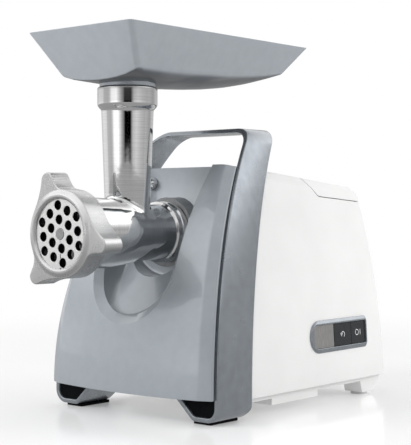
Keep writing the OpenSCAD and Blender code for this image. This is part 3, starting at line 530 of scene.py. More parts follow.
def channel_cutter():
    """Everything in front of the channel: its chamfer, its steep walls and its sloping floor."""
    down = np.linspace(CHANNEL_TOP_Z, CHANNEL_Z, 56)
    turn = np.radians(np.linspace(0, 180, 97))[1:-1]
    middle = np.stack([0 * down, down], 1)
    anchors = np.concatenate([middle, np.tile([0, CHANNEL_Z], (len(turn), 1)), middle[::-1]])
    ways = np.concatenate([
        np.tile([1.0, 0], (len(down), 1)), np.stack([np.cos(turn), -np.sin(turn)], 1),
        np.tile([-1.0, 0], (len(down), 1))])
    flare = flare_width(anchors[:, 1] + ways[:, 1] * CHANNEL_R)
    shares = np.concatenate([1 - np.linspace(0, 1, 15) ** 1.6 * 0.75, np.linspace(0.25, 0, 6)[1:]])
    radii = [CHANNEL_R + 2.5 + 0 * flare, CHANNEL_R + 0 * flare, CHANNEL_R - flare / 2] + \
        [(CHANNEL_R - flare) * share for share in shares]
    rows = []
    for radius in radii:
        at = anchors + ways * radius[:, None]
        x, z = at[:, 0], at[:, 1]
        face = bow_y(np.minimum(z, PANEL_Z1), x)
        out = CHANNEL_R - radius
        wall = face + np.where(out < flare, out, flare + 5.0 * (out - flare))
        floor = channel_floor(z)
        blend = np.clip(0.9 * (floor - face), 0.5, 16)
        near = np.maximum(blend - np.abs(floor - wall), 0) / blend
        depth = np.minimum(floor, wall) - near ** 2 * blend / 4
        rows.append(np.stack([x, depth, z], 1))
    grid = np.array(rows)
    count, size = grid.shape[:2]
    faces = [(j * size + i, j * size + i + 1, (j + 1) * size + i + 1, (j + 1) * size + i)
             for j in range(count - 1) for i in range(size - 1)]
    cutter = make_object("channel_cutter", put(grid.reshape(-1, 3)), faces)
    work = bmesh.new()
    work.from_mesh(cutter.data)
    bmesh.ops.remove_doubles(work, verts=work.verts, dist=1e-5)
    rim = [edge for edge in work.edges if edge.is_boundary]
    grown = bmesh.ops.extrude_edge_only(work, edges=rim)
    ahead = (-90 + Y0) * MM
    for vertex in (item for item in grown["geom"] if isinstance(item, bmesh.types.BMVert)):
        vertex.co.y = ahead
    bmesh.ops.holes_fill(work, edges=[edge for edge in work.edges if edge.is_boundary], sides=0)
    bmesh.ops.recalc_face_normals(work, faces=work.faces)
    work.to_mesh(cutter.data)
    work.free()
    return cutter


def cylinder(name, radius, low, high, centre=(0, DRIVE_Z), n=128, corner=0):
    """A cylinder along Y, whose rear edge can be rounded."""
    profile = soften([[0, low], [radius, low], [radius, high], [0, high]], [0, 0, corner, 0])
    return revolve(name, profile, "y", centre, n)


def front_housing():
    shell = panel_block()
    combine(shell, cylinder("pocket_wall", POCKET_WALL_R, *POCKET_WALL_Y), "UNION")
    combine(shell, channel_cutter(), crossing=True)
    combine(shell, cylinder("pocket", POCKET_R, -60, POCKET_Y, corner=3))
    combine(shell, cylinder("socket_hole", SOCKET_HOLE_R, 20, 95))
    combine(shell, cylinder("button_hole", RELEASE_HOLE_R, 20, 95, (RELEASE_X, RELEASE_Z), 48))
    shade(shell, 28)
    dress(shell, PANEL, "housing", "panel_grey", "front_housing")


# ---------------- handle band
FOOT_Z = BAND_LOW.z
FOOT_IN_X = 51.0
FOOT_FLAT_X = 70.0
FOOT_CORNER_R = 12.0
HANDLE_R = 22.0


def band_line(d):
    """The band's outline in X and Z, moved inwards by d, from its right foot over the top to its left."""
    reach = FOOT_FLAT_X - FOOT_IN_X
    slant = math.atan2(CURVE_Z - FOOT_Z, reach)
    longer = 1.9
    start = [FOOT_IN_X + d / math.sin(slant) - longer * reach / (CURVE_Z - FOOT_Z), CURVE_Z + longer]
    knee = [FOOT_FLAT_X + d * math.tan(slant / 2), FOOT_Z + d]
    knee_line = soften([start, knee, [HALF_W - FOOT_CORNER_R, FOOT_Z + d]], [0, 2.5, 0], 5)
    up = math.asin((HANDLE_TOP - HANDLE_R - CURVE_Z) / (LEAN_R - HANDLE_R))
    lean = np.array([HALF_W - LEAN_R, CURVE_Z])
    corner = lean + (LEAN_R - HANDLE_R) * np.array([math.cos(up), math.sin(up)])
    half = np.concatenate([
        knee_line[:-1],
        arc([HALF_W - FOOT_CORNER_R, FOOT_Z + FOOT_CORNER_R], FOOT_CORNER_R - d, -90, 0, 12),
        arc(lean, LEAN_R - d, 0, math.degrees(up), 44)[1:],
        arc(corner, HANDLE_R - d, math.degrees(up), 90, 16)[1:]])
    return mirrored(half)


def band_back(z):
    """The rear edge, with its lower corner cut away."""
    return back_y(z) - 5 * smooth((FOOT_Z + 8 - z) / 8)


def handle_band():
    """The band as a skin over its cross-sections, each with rounded corners."""
    outer, inner = band_line(0), band_line(BAND_T)
    r = 1.0
    loops = []
    corners = arc([r, r], r, 270, 180, 4)
    front = [(t, y, 0.0) for t, y in corners]
    front_in = [(BAND_T - t, y, 0.0) for t, y in corners[::-1]]
    back_in = [(BAND_T - t, y, 1.0) for t, y in corners]
    back_out = [(t, y, 1.0) for t, y in corners[::-1]]
    for t, y, side in front_in + front + back_out + back_in:
        line = outer + (inner - outer) * (t / BAND_T)
        z = line[:, 1]
        where = front_y(z) + y if side == 0 else band_back(z) - y
        loops.append(np.stack([line[:, 0], where, z], 1))
    rows = np.array(loops).transpose(1, 0, 2)
    band = skin("handle_loop", rows)
    shade(band, 40)
    dress(band, BAND, "housing", "band_grey", "handle_band")


# ---------------- rear housing and lid
BODY_Z = BODY_LOW.z
BODY_TAPER = 5.0
BODY_CORNER_R = 10.0
BEVEL_X = 60.5
REAR_Y = 268.0
REAR_LEAN = 14.0
REAR_LOW_Z, REAR_HIGH_Z = 21.0, 192.0
HINGE_Y, HINGE_Z, HINGE_R = 256.2, 187.4, 3.0
FIXED_KNUCKLES = [(-50, -38), (38, 50)]
MOVING_KNUCKLES = [(-37.6, -26), (26, 37.6)]
LID_CLEARANCE = [(-50.4, -37.6), (37.6, 50.4)]
LID_FRONT_Y, LID_LOW_Y = 154.0, 181.0
LID_HIGH_Z, LID_LOW_Z, LID_REAR_Z = 216.0, 192.0, 187.0


def rear_at(z):
    """Lengthwise position of the rear wall, which leans forward."""
    return REAR_Y - REAR_LEAN * max(z - REAR_LOW_Z, 0) / (REAR_HIGH_Z - REAR_LOW_Z)


def body_x(z, y):
    return side_x(z) - 1 - BODY_TAPER * (y - BAND_DEPTH) / (REAR_Y - BAND_DEPTH)


def body_outline(z, t):
    r = BODY_CORNER_R - t
    rear, start, front = rear_at(z) - t, back_y(z) + BAND_GAP + t, front_y(z) + PANEL_BACK + 0.3 - t
    x_rear, x_collar = body_x(z, rear) - t, side_x(z) - BAND_T - BAND_GAP - t
    half = np.concatenate([
        arc([x_rear - r, rear - r], r, 90, 0, 12),
        [[body_x(z, start) - t, start], [x_collar, start], [x_collar, front]]])
    return mirrored(half)


def body_block(name, t):
    """The rear housing as a solid; t moves every wall inwards."""
    low = BODY_Z - (1 if t else 0)
    levels = [low, *np.linspace(low, 196, 12)[1:], 250]
    block = skin(name, [at_height(body_outline(z, t), z) for z in levels])
    slope = math.atan(TOP_SLOPE)
    along = np.array([0, math.cos(slope), -math.sin(slope)])
    up = np.array([0, math.sin(slope), math.cos(slope)])
    far = 330.0
    half = [(BEVEL_X - t / 2, 0), (BEVEL_X - t / 2 + 90, -90), (BEVEL_X + 90, -far)]
    outline = half + [(-x, h) for x, h in half[::-1]]
    origin = np.array([0, TOP_Y, TOP_Z - t])
    rows = [[origin + np.array([x, 0, 0]) + up * h + along * s for x, h in outline] for s in (-80, far)]
    combine(block, skin("top_tool", rows), "INTERSECT")
    z = REAR_TOP_Z - t
    combine(block, prism("rear_tool", [[-50, -50], [REAR_TOP_Y + 270, -50], [REAR_TOP_Y + 250, z - 225],
                                       [REAR_TOP_Y, z], [REAR_TOP_Y - 100, z + 90], [-50, z + 225]],
                         -150, 150, "x"), "INTERSECT")
    return block


def lid_tool(shift):
    """Everything above the line where the lid parts from the housing."""
    t = np.linspace(0, 1, 20)
    y = LID_FRONT_Y + shift + (LID_LOW_Y - LID_FRONT_Y) * t
    z = LID_HIGH_Z + shift - (LID_HIGH_Z - LID_LOW_Z) * smooth(t)
    slope = (LID_LOW_Z - LID_REAR_Z) / (REAR_Y - REAR_LEAN - LID_LOW_Y)
    tail = [[320, LID_LOW_Z - slope * (320 - LID_LOW_Y) + shift], [320, 270], [LID_FRONT_Y + shift, 270]]
    return prism("lid_tool", np.concatenate([np.stack([y, z], 1), tail]), -130, 130, "x")


def rod_x(name, spans, radius):
    """Coaxial rods on the lid's hinge axis."""
    rods = [prism(name, arc([HINGE_Y, HINGE_Z], radius, 0, 360, 32)[:-1], *span, "x") for span in spans]
    for extra in rods[1:]:
        combine(rods[0], extra, "UNION")
    return rods[0]


def rear_shells():
    outer = body_block("rear_shell", 0)
    add_bevel(outer, 1.3, 20, 4).use_clamp_overlap = False
    bake(outer)
    hollow = body_block("hollow", WALL)
    combine(outer, hollow)
    lid = add_object("lid_shell", outer.data.copy())
    combine(outer, lid_tool(0))
    combine(lid, lid_tool(0.7), "INTERSECT")
    combine(outer, rod_x("knuckles", FIXED_KNUCKLES, HINGE_R), "UNION")
    combine(outer, rod_x("clear", MOVING_KNUCKLES, HINGE_R + 0.3))
    combine(outer, side_cutter())
    combine(lid, rod_x("knuckles", MOVING_KNUCKLES, HINGE_R), "UNION")
    combine(lid, rod_x("clear", LID_CLEARANCE, HINGE_R + 0.3))
    for shell, body, node in ((outer, "housing", "rear_housing"), (lid, "storage_lid", "storage_lid")):
        shade(shell, 30)
        dress(shell, WHITE, body, "body_white", node)


# ---------------- controls on the right side
SIDE_Y, SIDE_Z = 182.5, 63.0
BEZEL_LEN, BEZEL_H = 95.0, 30.0
WINDOW_H = 21.5
WINDOW_FRONT = 5.2
WINDOW_REAR = 2.5


def on_side(points):
    """From the side's own frame (X out of the wall, Y to the rear, Z up the wall) to the design's."""
    tilt = math.asin((SIDE_Z - CURVE_Z) / LEAN_R)
    taper = math.atan2(BODY_TAPER, REAR_Y - BAND_DEPTH)
    turn = Matrix.Rotation(taper, 3, "Z") @ Matrix.Rotation(-tilt, 3, "Y")
    points = np.asarray(points, float)
    return points @ np.array(turn).T + [body_x(SIDE_Z, SIDE_Y), SIDE_Y, SIDE_Z]


def bezel_outline(grow):
    r = BEZEL_H / 2 + grow
    front, rear, corner = -BEZEL_LEN / 2 + BEZEL_H / 2, BEZEL_LEN / 2 + grow, 4.0
    return np.concatenate([
        arc([front, 0], r, 90, 270, 24), arc([rear - corner, -r + corner], corner, -90, 0, 8),
        arc([rear - corner, r - corner], corner, 0, 90, 8)])


def window_outline(grow):
    half, corner, small = WINDOW_H / 2 + grow, 4.5 + grow, 1.2 + grow
    front, rear = -BEZEL_LEN / 2 + WINDOW_FRONT - grow, BEZEL_LEN / 2 - WINDOW_REAR + grow
    return np.concatenate([
        arc([front + corner, half - corner], corner, 90, 180, 12),
        arc([front + corner, corner - half], corner, 180, 270, 12)[1:],
        arc([rear - small, small - half], small, -90, 0, 8),
        arc([rear - small, half - small], small, 0, 90, 8)])


def side_row(outline, x):
    return on_side(np.column_stack([np.full(len(outline), x), outline]))


def side_cutter():
    """The hole behind the bezel."""
    return skin("side_tool", [side_row(bezel_outline(-1.5), x) for x in (-8, 5)])


def bezel():
    """The frame round the window: its outline grows by the first number at the second number's height."""
    outside = [(-1.8, -6), (-1.8, -0.3), (0, -0.3), (0, 0.5)]
    inside = [(1.3, 2.0), (0.25, 2.0), (0, 1.6), (0, -6)]
    rows = [side_row(bezel_outline(grow), x) for grow, x in outside]
    rows += [side_row(window_outline(grow), x) for grow, x in inside]
    cuts = [0.001, 0, 0, 0.5, 0.5, 0.3, 0.3, 0.001]
    border = skin("bezel_frame", soften(rows, cuts, 3, closed=True), wrap=True)
    shade(border, 40)
    dress(border, BAND, "housing", "band_grey", "control_bezel")


MARK_X = 0.66
MARK_WIDTH = 0.6
MARK_DEPTH = 0.3


def ribbon(name, line, body):
    """A thin raised line on the face of a button."""
    line = np.asarray(line, float)
    ahead = np.gradient(line, axis=0)
    normal = np.stack([-ahead[:, 1], ahead[:, 0]], 1)
    normal /= np.linalg.norm(normal, axis=1, keepdims=True)
    left, right = line + normal * MARK_WIDTH / 2, line - normal * MARK_WIDTH / 2
    low = MARK_X - MARK_DEPTH
    rows = [on_side([[MARK_X, *a], [MARK_X, *b], [low, *b], [low, *a]]) for a, b in zip(left, right)]
    mark = skin(name, rows)
    shade(mark)
    dress(mark, MARK, body, "nylon")


def button_marks():
    """Generic signs: an open circle with a bar for power, and an arrow that turns back for reverse."""
    power_y, reverse_y = 32.5, 6.0
    r = 2.6
    ribbon("power_circle", arc([power_y - 2, 0], r, 0, 352, 40), "power_button")
    ribbon("power_bar", [[power_y + 3.6, -r], [power_y + 3.6, r]], "power_button")
    bend = arc([reverse_y + 0.5, -0.3], r, -60, 180, 24)
    ribbon("reverse_bend", bend, "reverse_button")
    tip = bend[-1]
    ribbon("reverse_head", [tip + [-1.7, 1.3], tip + [0, -1.5], tip + [1.7, 1.3]], "reverse_button")


# ---------------- grinding head
# Profiles of (radius, length) along the barrel and (radius, height) up the throat, with their roundings
BARREL = [[24, 58], [24, 44], [27.5, 44], [27.5, 38.6], [26.4, 37.6], [26.4, 34.6], [27.2, 33.6],
          [27.2, 32.1], [25, 30.6], [24.6, 24], [24.9, 8], [26.5, -8], [28.4, -20], [29.8, -34],
          [30.5, -50], [30.8, -62], [33.4, -64], [33.4, -85]]
BARREL_CUTS = [0, 0.6, 0.8, 0.8, 0.5, 0.5, 0.4, 0.4, 0.8, 3, 3, 3, 3, 3, 3, 1.2, 1.2, 0.8]
THROAT = [[19, 160], [20.85, 212], [22.7, 264], [22.9, 266.5], [25, 268.5], [26.2, 270.5],
          [26.2, 285.2], [25.4, 286]]
THROAT_CUTS = [0, 0, 4, 1.2, 1.2, 1.0, 0.8, 0]
BORE = [[0, -90], [31.15, -90], [31.15, -80], [26.5, -80], [26.5, -76.6], [21.4, 12], [21.4, 32],
        [14.5, 34], [14.5, 60], [0, 60]]
FEED_R = 17.2
SEAT_R = 23.7
FEED = [[0, 160], [FEED_R + 0.4, 160], [FEED_R + 0.4, 187], [FEED_R, 187], [FEED_R, 271],
        [FEED_R + 1, 272], [SEAT_R, 272], [SEAT_R, 285.2], [SEAT_R + 0.8, 287], [0, 287]]
JUNCTION_R = 3.5
LUG_ANGLES = (90, 210, 330)
LUG_R = 22.0, 27.2
LUG_Y = 54.5, 57.5
LUG_HALF_ANGLE = 11


def finely(profile, step):
    """The same profile with more points along it."""
    profile = np.asarray(profile, float)
    out = [profile[:1]]
    for a, b in zip(profile[:-1], profile[1:]):
        n = max(1, int(np.linalg.norm(b - a) / step))
        out.append(a + (b - a) * np.linspace(0, 1, n + 1)[1:, None])
    return np.concatenate(out)


def blend_junction(piece, radius):
    """Moves the points near the joint of throat and barrel onto a smooth blend of the two."""
    points = np.array([v.co for v in piece.data.vertices]) / MM
    points[:, 1] -= Y0
    barrel = np.array(BARREL)[::-1]
    throat = np.array(THROAT)

    def field(p):
        """Distance outside the blended surface."""
        x, y, z = p.T
        off_barrel = np.hypot(x, z - DRIVE_Z) - np.interp(y, barrel[:, 1], barrel[:, 0])
        off_throat = np.hypot(x, y - THROAT_Y) - np.interp(z, throat[:, 1], throat[:, 0])
        near = np.maximum(radius - np.abs(off_barrel - off_throat), 0) / radius
        return np.minimum(off_barrel, off_throat) - near ** 2 * radius / 4

    _, y, z = points.T
    moving = (np.abs(y - THROAT_Y) < 42) & (z > DRIVE_Z - 3) & (z < DRIVE_Z + 60)
    p = points[moving]
    for _ in range(4):
        step = 0.05
        value = field(p)
        slope = np.stack([field(p + step * np.eye(3)[k]) - value for k in range(3)], 1) / step
        p -= slope * (value / np.maximum(np.sum(slope ** 2, 1), 0.25))[:, None]
    points[moving] = p
    piece.data.vertices.foreach_set("co", put(points).ravel())


def closed_profile(outside):
    """The profile with both its ends carried to the axis."""
    return [[0, outside[0][1]], *outside, [0, outside[-1][1]]]


def grinder_body():
    barrel = closed_profile(finely(soften(BARREL, BARREL_CUTS, 3), 1.6))
    throat = closed_profile(finely(soften(THROAT, THROAT_CUTS, 4), 1.6))
    body = revolve("grinder_casting", barrel, "y", (0, DRIVE_Z), 160)
    combine(body, revolve("pipe", throat, "z", (0, THROAT_Y), 160), "UNION")
    blend_junction(body, JUNCTION_R)
    combine(body, revolve("bore", BORE, "y", (0, DRIVE_Z), 96))
    combine(body, revolve("feed", FEED, "z", (0, THROAT_Y), 128))
    for lug in bayonet_lugs():
        combine(body, lug, "UNION")
    shade(body, 30)
    dress(body, STEEL, "head", "machined_steel", "grinder_body")


def bayonet_lugs():
    """The three lugs on the spigot that lock the head in its socket."""
    lugs = []
    for middle in LUG_ANGLES:
        start, end = middle - LUG_HALF_ANGLE, middle + LUG_HALF_ANGLE
        outline = np.concatenate([arc([0, DRIVE_Z], LUG_R[1], start, end, 8),
                                  arc([0, DRIVE_Z], LUG_R[0], end, start, 8)])
        lugs.append(prism("lug", outline, *LUG_Y, "y"))
    return lugs


RING_Y = RING_LOW.y - Y0
RING_BACK = RING_HIGH.y - Y0
RING_DROP = 2.2
RING_BORE_R = 33.7
RING_LIP_Y = -85.3
GRIP_ANGLE = 110.0
RIB_HEIGHT = 0.16
RIB_PITCH = 1.5
RIB_FROM_R, RIB_TO_R = 39.5, 51.5
# The outline round one grip: angle from the grip's middle, and distance from the axis
GRIP = np.array([
    [-60, 37], [-48, 37], [-36, 37], [-25, 37], [-20, 37.4], [-16, 38.6], [-13, 40.6], [-10.5, 43.6],
    [-8.2, 48.4], [-6.8, 51.2], [-5.2, 52.4], [4.4, 52.4], [6.2, 51.2], [8, 49], [10.5, 46.4],
    [14, 43.8], [18, 41.6], [23, 39.6], [29, 38.1], [36, 37.2], [42, 37], [51, 37], [60, 37]])


def curve_through(points, at):
    """A smooth curve through points, as a function of their first coordinate."""
    x, y = points.T
    slope = np.gradient(y, x)
    i = np.clip(np.searchsorted(x, at) - 1, 0, len(x) - 2)
    h = x[i + 1] - x[i]
    t = (at - x[i]) / h
    return (y[i] * (1 + 2 * t) * (1 - t) ** 2 + slope[i] * h * t * (1 - t) ** 2
            + y[i + 1] * t ** 2 * (3 - 2 * t) + slope[i + 1] * h * t ** 2 * (t - 1))


def ring_outline():
    """A circle with three grips; the steep side of each grip has fine ribs along the ring's depth."""
    spans = [(-60, -16, 40), (-16, -5, 80), (-5, 60, 90)]
    turn = np.concatenate([np.linspace(start, end, n, endpoint=False) for start, end, n in spans])
    reach = curve_through(GRIP, turn)
    ribs = RIB_HEIGHT * np.sin(reach * 2 * math.pi / RIB_PITCH)
    ribs *= smooth((reach - RIB_FROM_R) / 1.5) * smooth((RIB_TO_R - reach) / 1.5)
    reach = reach + ribs * (turn < -5)
    whole = [np.stack([reach * np.cos(a), reach * np.sin(a)], 1)
             for a in (np.radians(turn + GRIP_ANGLE + 120 * k) for k in range(3))]
    return np.concatenate(whole)


def screw_ring():
    outline = ring_outline()
    angle = np.arctan2(outline[:, 1], outline[:, 0])

    def outer(y, d):
        flat = inset(outline, d)
        return np.stack([flat[:, 0], np.full(len(flat), y), flat[:, 1] + DRIVE_Z], 1)

    def inner(y, r):
        return np.stack([r * np.cos(angle), np.full(len(angle), y), r * np.sin(angle) + DRIVE_Z], 1)

    face, back = RING_Y + RING_DROP, RING_BACK
    rows = [outer(back, 0.7), outer(back - 0.7, 0), outer(face + 0.7, 0), outer(face, 0.7),
            inner(face, 35.9), inner(RING_Y, 32.4), inner(RING_Y, 30.6), inner(RING_Y + 1.2, 29),
            inner(RING_LIP_Y, 29), inner(RING_LIP_Y, RING_BORE_R), inner(back, RING_BORE_R)]
    cuts = [0.4, 0.4, 0.35, 0.35, 1.2, 0.8, 0.3, 0.3, 0.1, 0.2, 0.5]
    ring = skin("ring_casting", soften(rows, cuts, 3, closed=True), wrap=True)
    shade(ring, 35)
    dress(ring, SATIN, "screw_ring", "ring_metal", "screw_ring")


HOLE_R = 4.1
MIDDLE_HOLE_R = 4.6
HOLE_PITCH = 12.0
DISC_TILT = math.radians(7)


def perforated_disc():
    """The disc with its eighteen holes, its middle hole and its notch."""
    face, back, r = DISC_LOW.y - Y0, DISC_HIGH.y - Y0, (DISC_HIGH.x - DISC_LOW.x) / 2
    profile = [[0, face], [r - 0.4, face], [r, face + 0.4], [r, back], [0, back]]
    disc = revolve("disc_plate", profile, "y", (0, DRIVE_Z))
    places = []
    for i in range(-2, 3):
        for j in range(-2, 3):
            if abs(i + j) <= 2:
                x, z = HOLE_PITCH * i * math.cos(math.radians(30)), HOLE_PITCH * (j + i / 2)
                places.append((x * math.cos(DISC_TILT) - z * math.sin(DISC_TILT),
                               x * math.sin(DISC_TILT) + z * math.cos(DISC_TILT),
                               HOLE_R if (i, j) != (0, 0) else MIDDLE_HOLE_R))
    vertices, faces, n = [], [], 40
    levels = [(face - 1, 1.35), (face, 0.35), (face + 0.35, 0), (back + 1, 0)]
    for x, z, radius in places:
        turn = np.linspace(0, 2 * math.pi, n, endpoint=False)
        base = len(vertices)
        for level, grow in levels:
            rim = np.stack([x + (radius + grow) * np.cos(turn), np.full(n, level),
                            DRIVE_Z + z + (radius + grow) * np.sin(turn)], 1)
            vertices.extend(put(rim))
        for j in range(len(levels) - 1):
            faces += [(base + j * n + k, base + j * n + (k + 1) % n, base + (j + 1) * n + (k + 1) % n,
                       base + (j + 1) * n + k) for k in range(n)]
        faces += [tuple(range(base, base + n)), tuple(range(base + 3 * n, base + 4 * n))]
    combine(disc, make_object("drills", vertices, faces))
    low, high = DRIVE_Z - r - 1, DRIVE_Z - r + 2
    notch = [[-1.5, low], [1.5, low], [1.5, high], [-1.5, high]]
    combine(disc, prism("notch", notch, face - 1, back + 1, "y"))
    shade(disc, 25)
    dress(disc, DISC, "head", "brushed_steel", "perforated_disc")
    # The hole walls get the near-black steel: painted shade inside the holes
    disc.data.materials.append(PAINTED_SHADE_STEEL)
    middle = (DISC_LOW.y + DISC_HIGH.y) / 2 * MM
    for polygon in disc.data.polygons:
        out = math.hypot(polygon.center.x, polygon.center.z - DRIVE_Z * MM) / MM
        if abs(polygon.normal.y) < 0.3 and out < r - 1.5:
            polygon.material_index = 1


# ---------------- feed tray
TRAY_TOP = TRAY_HIGH.z
TRAY_HALF = TRAY_HIGH.x
TRAY_FRONT = TRAY_LOW.y - Y0
TRAY_REAR = TRAY_HIGH.y - Y0
TRAY_T = 2.5
CREASE_HALF = 47.5
CREASE_FRONT, CREASE_REAR = -41.0, 156.0
CREASE_FRONT_Z, CREASE_REAR_Z = 300.0, 308.0
BELLY = 15.0
NECK = [[0, 272.3], [23.4, 272.3], [23.4, 286.3], [24.3, 286.3], [24.3, 290.6], [23.6, 291.5],
        [23.6, 300], [0, 300]]
TRAY_BORE = [[0, 260], [19.5, 260], [19.5, 274], [19.5, 296.5], [23, 306], [0, 306]]


def tray_outline(half, front, rear, r):
    """A rounded rectangle with points along its sides, anticlockwise from its right rear corner."""
    corners = [([half - r, rear - r], 0), ([r - half, rear - r], 90), ([r - half, front + r], 180),
               ([half - r, front + r], 270)]
    line = [arc(centre, r, start, start + 90, 8) for centre, start in corners]
    out = []
    for k, piece in enumerate(line):
        out.append(piece)
        n = 20 if k in (1, 3) else 8
        a, b = piece[-1], line[(k + 1) % 4][0]
        out.append(a + (b - a) * np.linspace(0, 1, n + 1)[1:-1, None])
    return np.concatenate(out)


def tray_floor(x, y):
    """Height of the tray's curved underside."""
    v = np.clip((y - CREASE_FRONT) / (CREASE_REAR - CREASE_FRONT), 0, 1)
    u = np.clip(np.abs(x) / CREASE_HALF, 0, 1)
    crease = CREASE_FRONT_Z + (CREASE_REAR_Z - CREASE_FRONT_Z) * v
    deep = BELLY * (1 - v ** 5) ** 0.6 * (0.68 + 0.32 * np.sin(np.minimum(v / 0.35, 1) * math.pi / 2))
    return crease - deep * np.sqrt(1 - u ** 2)


def feed_tray():
    middle = np.array([0, (CREASE_FRONT + CREASE_REAR) / 2])
    crease = tray_outline(CREASE_HALF, CREASE_FRONT, CREASE_REAR, 5)
    crease_in = tray_outline(CREASE_HALF - TRAY_T, CREASE_FRONT + TRAY_T, CREASE_REAR - TRAY_T, 4)
    rim = tray_outline(TRAY_HALF, TRAY_FRONT, TRAY_REAR, 5)
    rim_in = tray_outline(TRAY_HALF - TRAY_T, TRAY_FRONT + TRAY_T, TRAY_REAR - TRAY_T, 3.2)

    def floor_row(outline, share, lift):
        at = middle + (outline - middle) * share
        return np.column_stack([at, tray_floor(at[:, 0], at[:, 1]) + lift])

    shares = [0.04, 0.2, 0.4, 0.6, 0.75, 0.88, 0.96, 1.0]
    under = [floor_row(crease, share, 0) for share in shares]
    over = [floor_row(crease_in, share, TRAY_T) for share in shares[::-1]]
    rows = [*under, at_height(rim, TRAY_TOP), at_height(rim_in, TRAY_TOP), *over]
    cuts = [0] * 7 + [1.6, 0.9, 0.9, 5] + [0] * 7
    tray = skin("tray_shell", soften(rows, cuts, 4))
    neck = soften(NECK, [0, 0.5, 0.1, 0.4, 0.4, 0.4, 0, 0], 4)
    combine(tray, revolve("neck", neck, "z", (0, THROAT_Y)), "UNION")
    bore = soften(TRAY_BORE, [0, 0, 2, 3, 0, 0], 4)
    combine(tray, revolve("tray_bore", bore, "z", (0, THROAT_Y)))
    shade(tray, 30)
    dress(tray, TRAY, "feed_tray", "tray_grey", "feed_tray")


# ---------------- CAD nodes that stay
def tidy_node(name, material, width):
    """Gives a CAD node its material and softened edges."""
    piece = NODES[name]
    piece.data.materials.clear()
    piece.data.materials.append(material)
    weld = piece.modifiers.new("weld", "WELD")
    weld.merge_threshold = 0.00002
    add_bevel(piece, width, 35, 2)
    normals = piece.modifiers.new("normals", "WEIGHTED_NORMAL")
    normals.keep_sharp = True


def keep_nodes():
    grey_metal = plain_metal("machined_metal", (0.50, 0.50, 0.51), (0.62, 0.62, 0.63), 0.3)
    bronze = plain_metal("sintered_bronze", (0.42, 0.26, 0.12), (0.55, 0.35, 0.17), 0.4)
    copper = plain_metal("copper_wire", (0.50, 0.20, 0.09), (0.68, 0.30, 0.14), 0.32)
    core = plain_metal("core_steel", (0.26, 0.26, 0.27), (0.36, 0.36, 0.37), 0.45)
    alloy = plain_metal("cast_alloy", (0.38, 0.39, 0.40), (0.48, 0.49, 0.50), 0.5)
    nylon = plain_plastic("nylon", (0.70, 0.68, 0.60), (0.80, 0.78, 0.70), 0.45)
    dark = plain_plastic("dark_plastic", (0.03, 0.032, 0.036), (0.06, 0.062, 0.068), 0.45)
    board = plain_plastic("board_green", (0.01, 0.10, 0.04), (0.02, 0.16, 0.07), 0.5)
    carbon = plain_plastic("carbon", (0.015, 0.015, 0.016), (0.03, 0.03, 0.032), 0.6)
    yellow = plain_plastic("capacitor_yellow", (0.55, 0.38, 0.06), (0.65, 0.46, 0.09), 0.45)
    groups = [
        (RUBBER, 0.6, ["foot_fillers", "front_foot_pads", "cord_grommet"]),
        (PALE_RUBBER, 0.6, ["rear_foot_pads"]),
        (GLOSS, 0.45, ["power_button", "reverse_button"]),
        (WHITE, 0.6, ["base_plate", "storage_bin"]),
        (BRUSHED, 0.2, ["steel_insert"]),
        (CHROME, 0.8, ["release_button"]),
        (grey_metal, 0.3, ["output_gear", "output_shaft", "second_layshaft", "first_layshaft",
                           "motor_shaft", "motor_bearings", "motor_bolts", "gearbox_screws",
                           "housing_screws", "lid_hinge_pin", "auger"]),
        # The knife's near-black steel is painted shade
        (PAINTED_SHADE_STEEL, 0.3, ["knife"]),
        (bronze, 0.2, ["output_bushes", "layshaft_bushes", "brush_holders"]),
        (copper, 0.8, ["field_windings", "armature_windings", "commutator"]),
        (core, 0.3, ["motor_stator", "armature_core"]),
        (alloy, 0.4, ["motor_brackets", "gearbox_housing", "gearbox_cover", "drive_socket"]),
        (nylon, 0.2, ["first_gear", "second_gear"]),
        (dark, 0.3, ["cooling_fan", "button_switches"]),
        (board, 0.2, ["control_board"]),
        (carbon, 0.2, ["carbon_brushes"]),
        (yellow, 0.6, ["filter_capacitor"]),
    ]
    for material, width, names in groups:
        for name in names:
            tidy_node(name, material, width)


# ---------------- studio
CAMERA_TURN = math.radians(40.7)
CAMERA_PITCH = math.radians(89.4)
CAMERA_PLACE = [759.4, -784.3, 180.2]
WHITE_LIGHT = (1, 1, 1, 1)


def camera():
    data = bpy.data.cameras.new("camera")
    data.lens = 100.86
    data.sensor_width = 36
    data.clip_end = 50
    view = add_object("camera", data)
    view.location = put(CAMERA_PLACE)[0]
    view.rotation_euler = (CAMERA_PITCH, 0, CAMERA_TURN)
    bpy.context.scene.camera = view


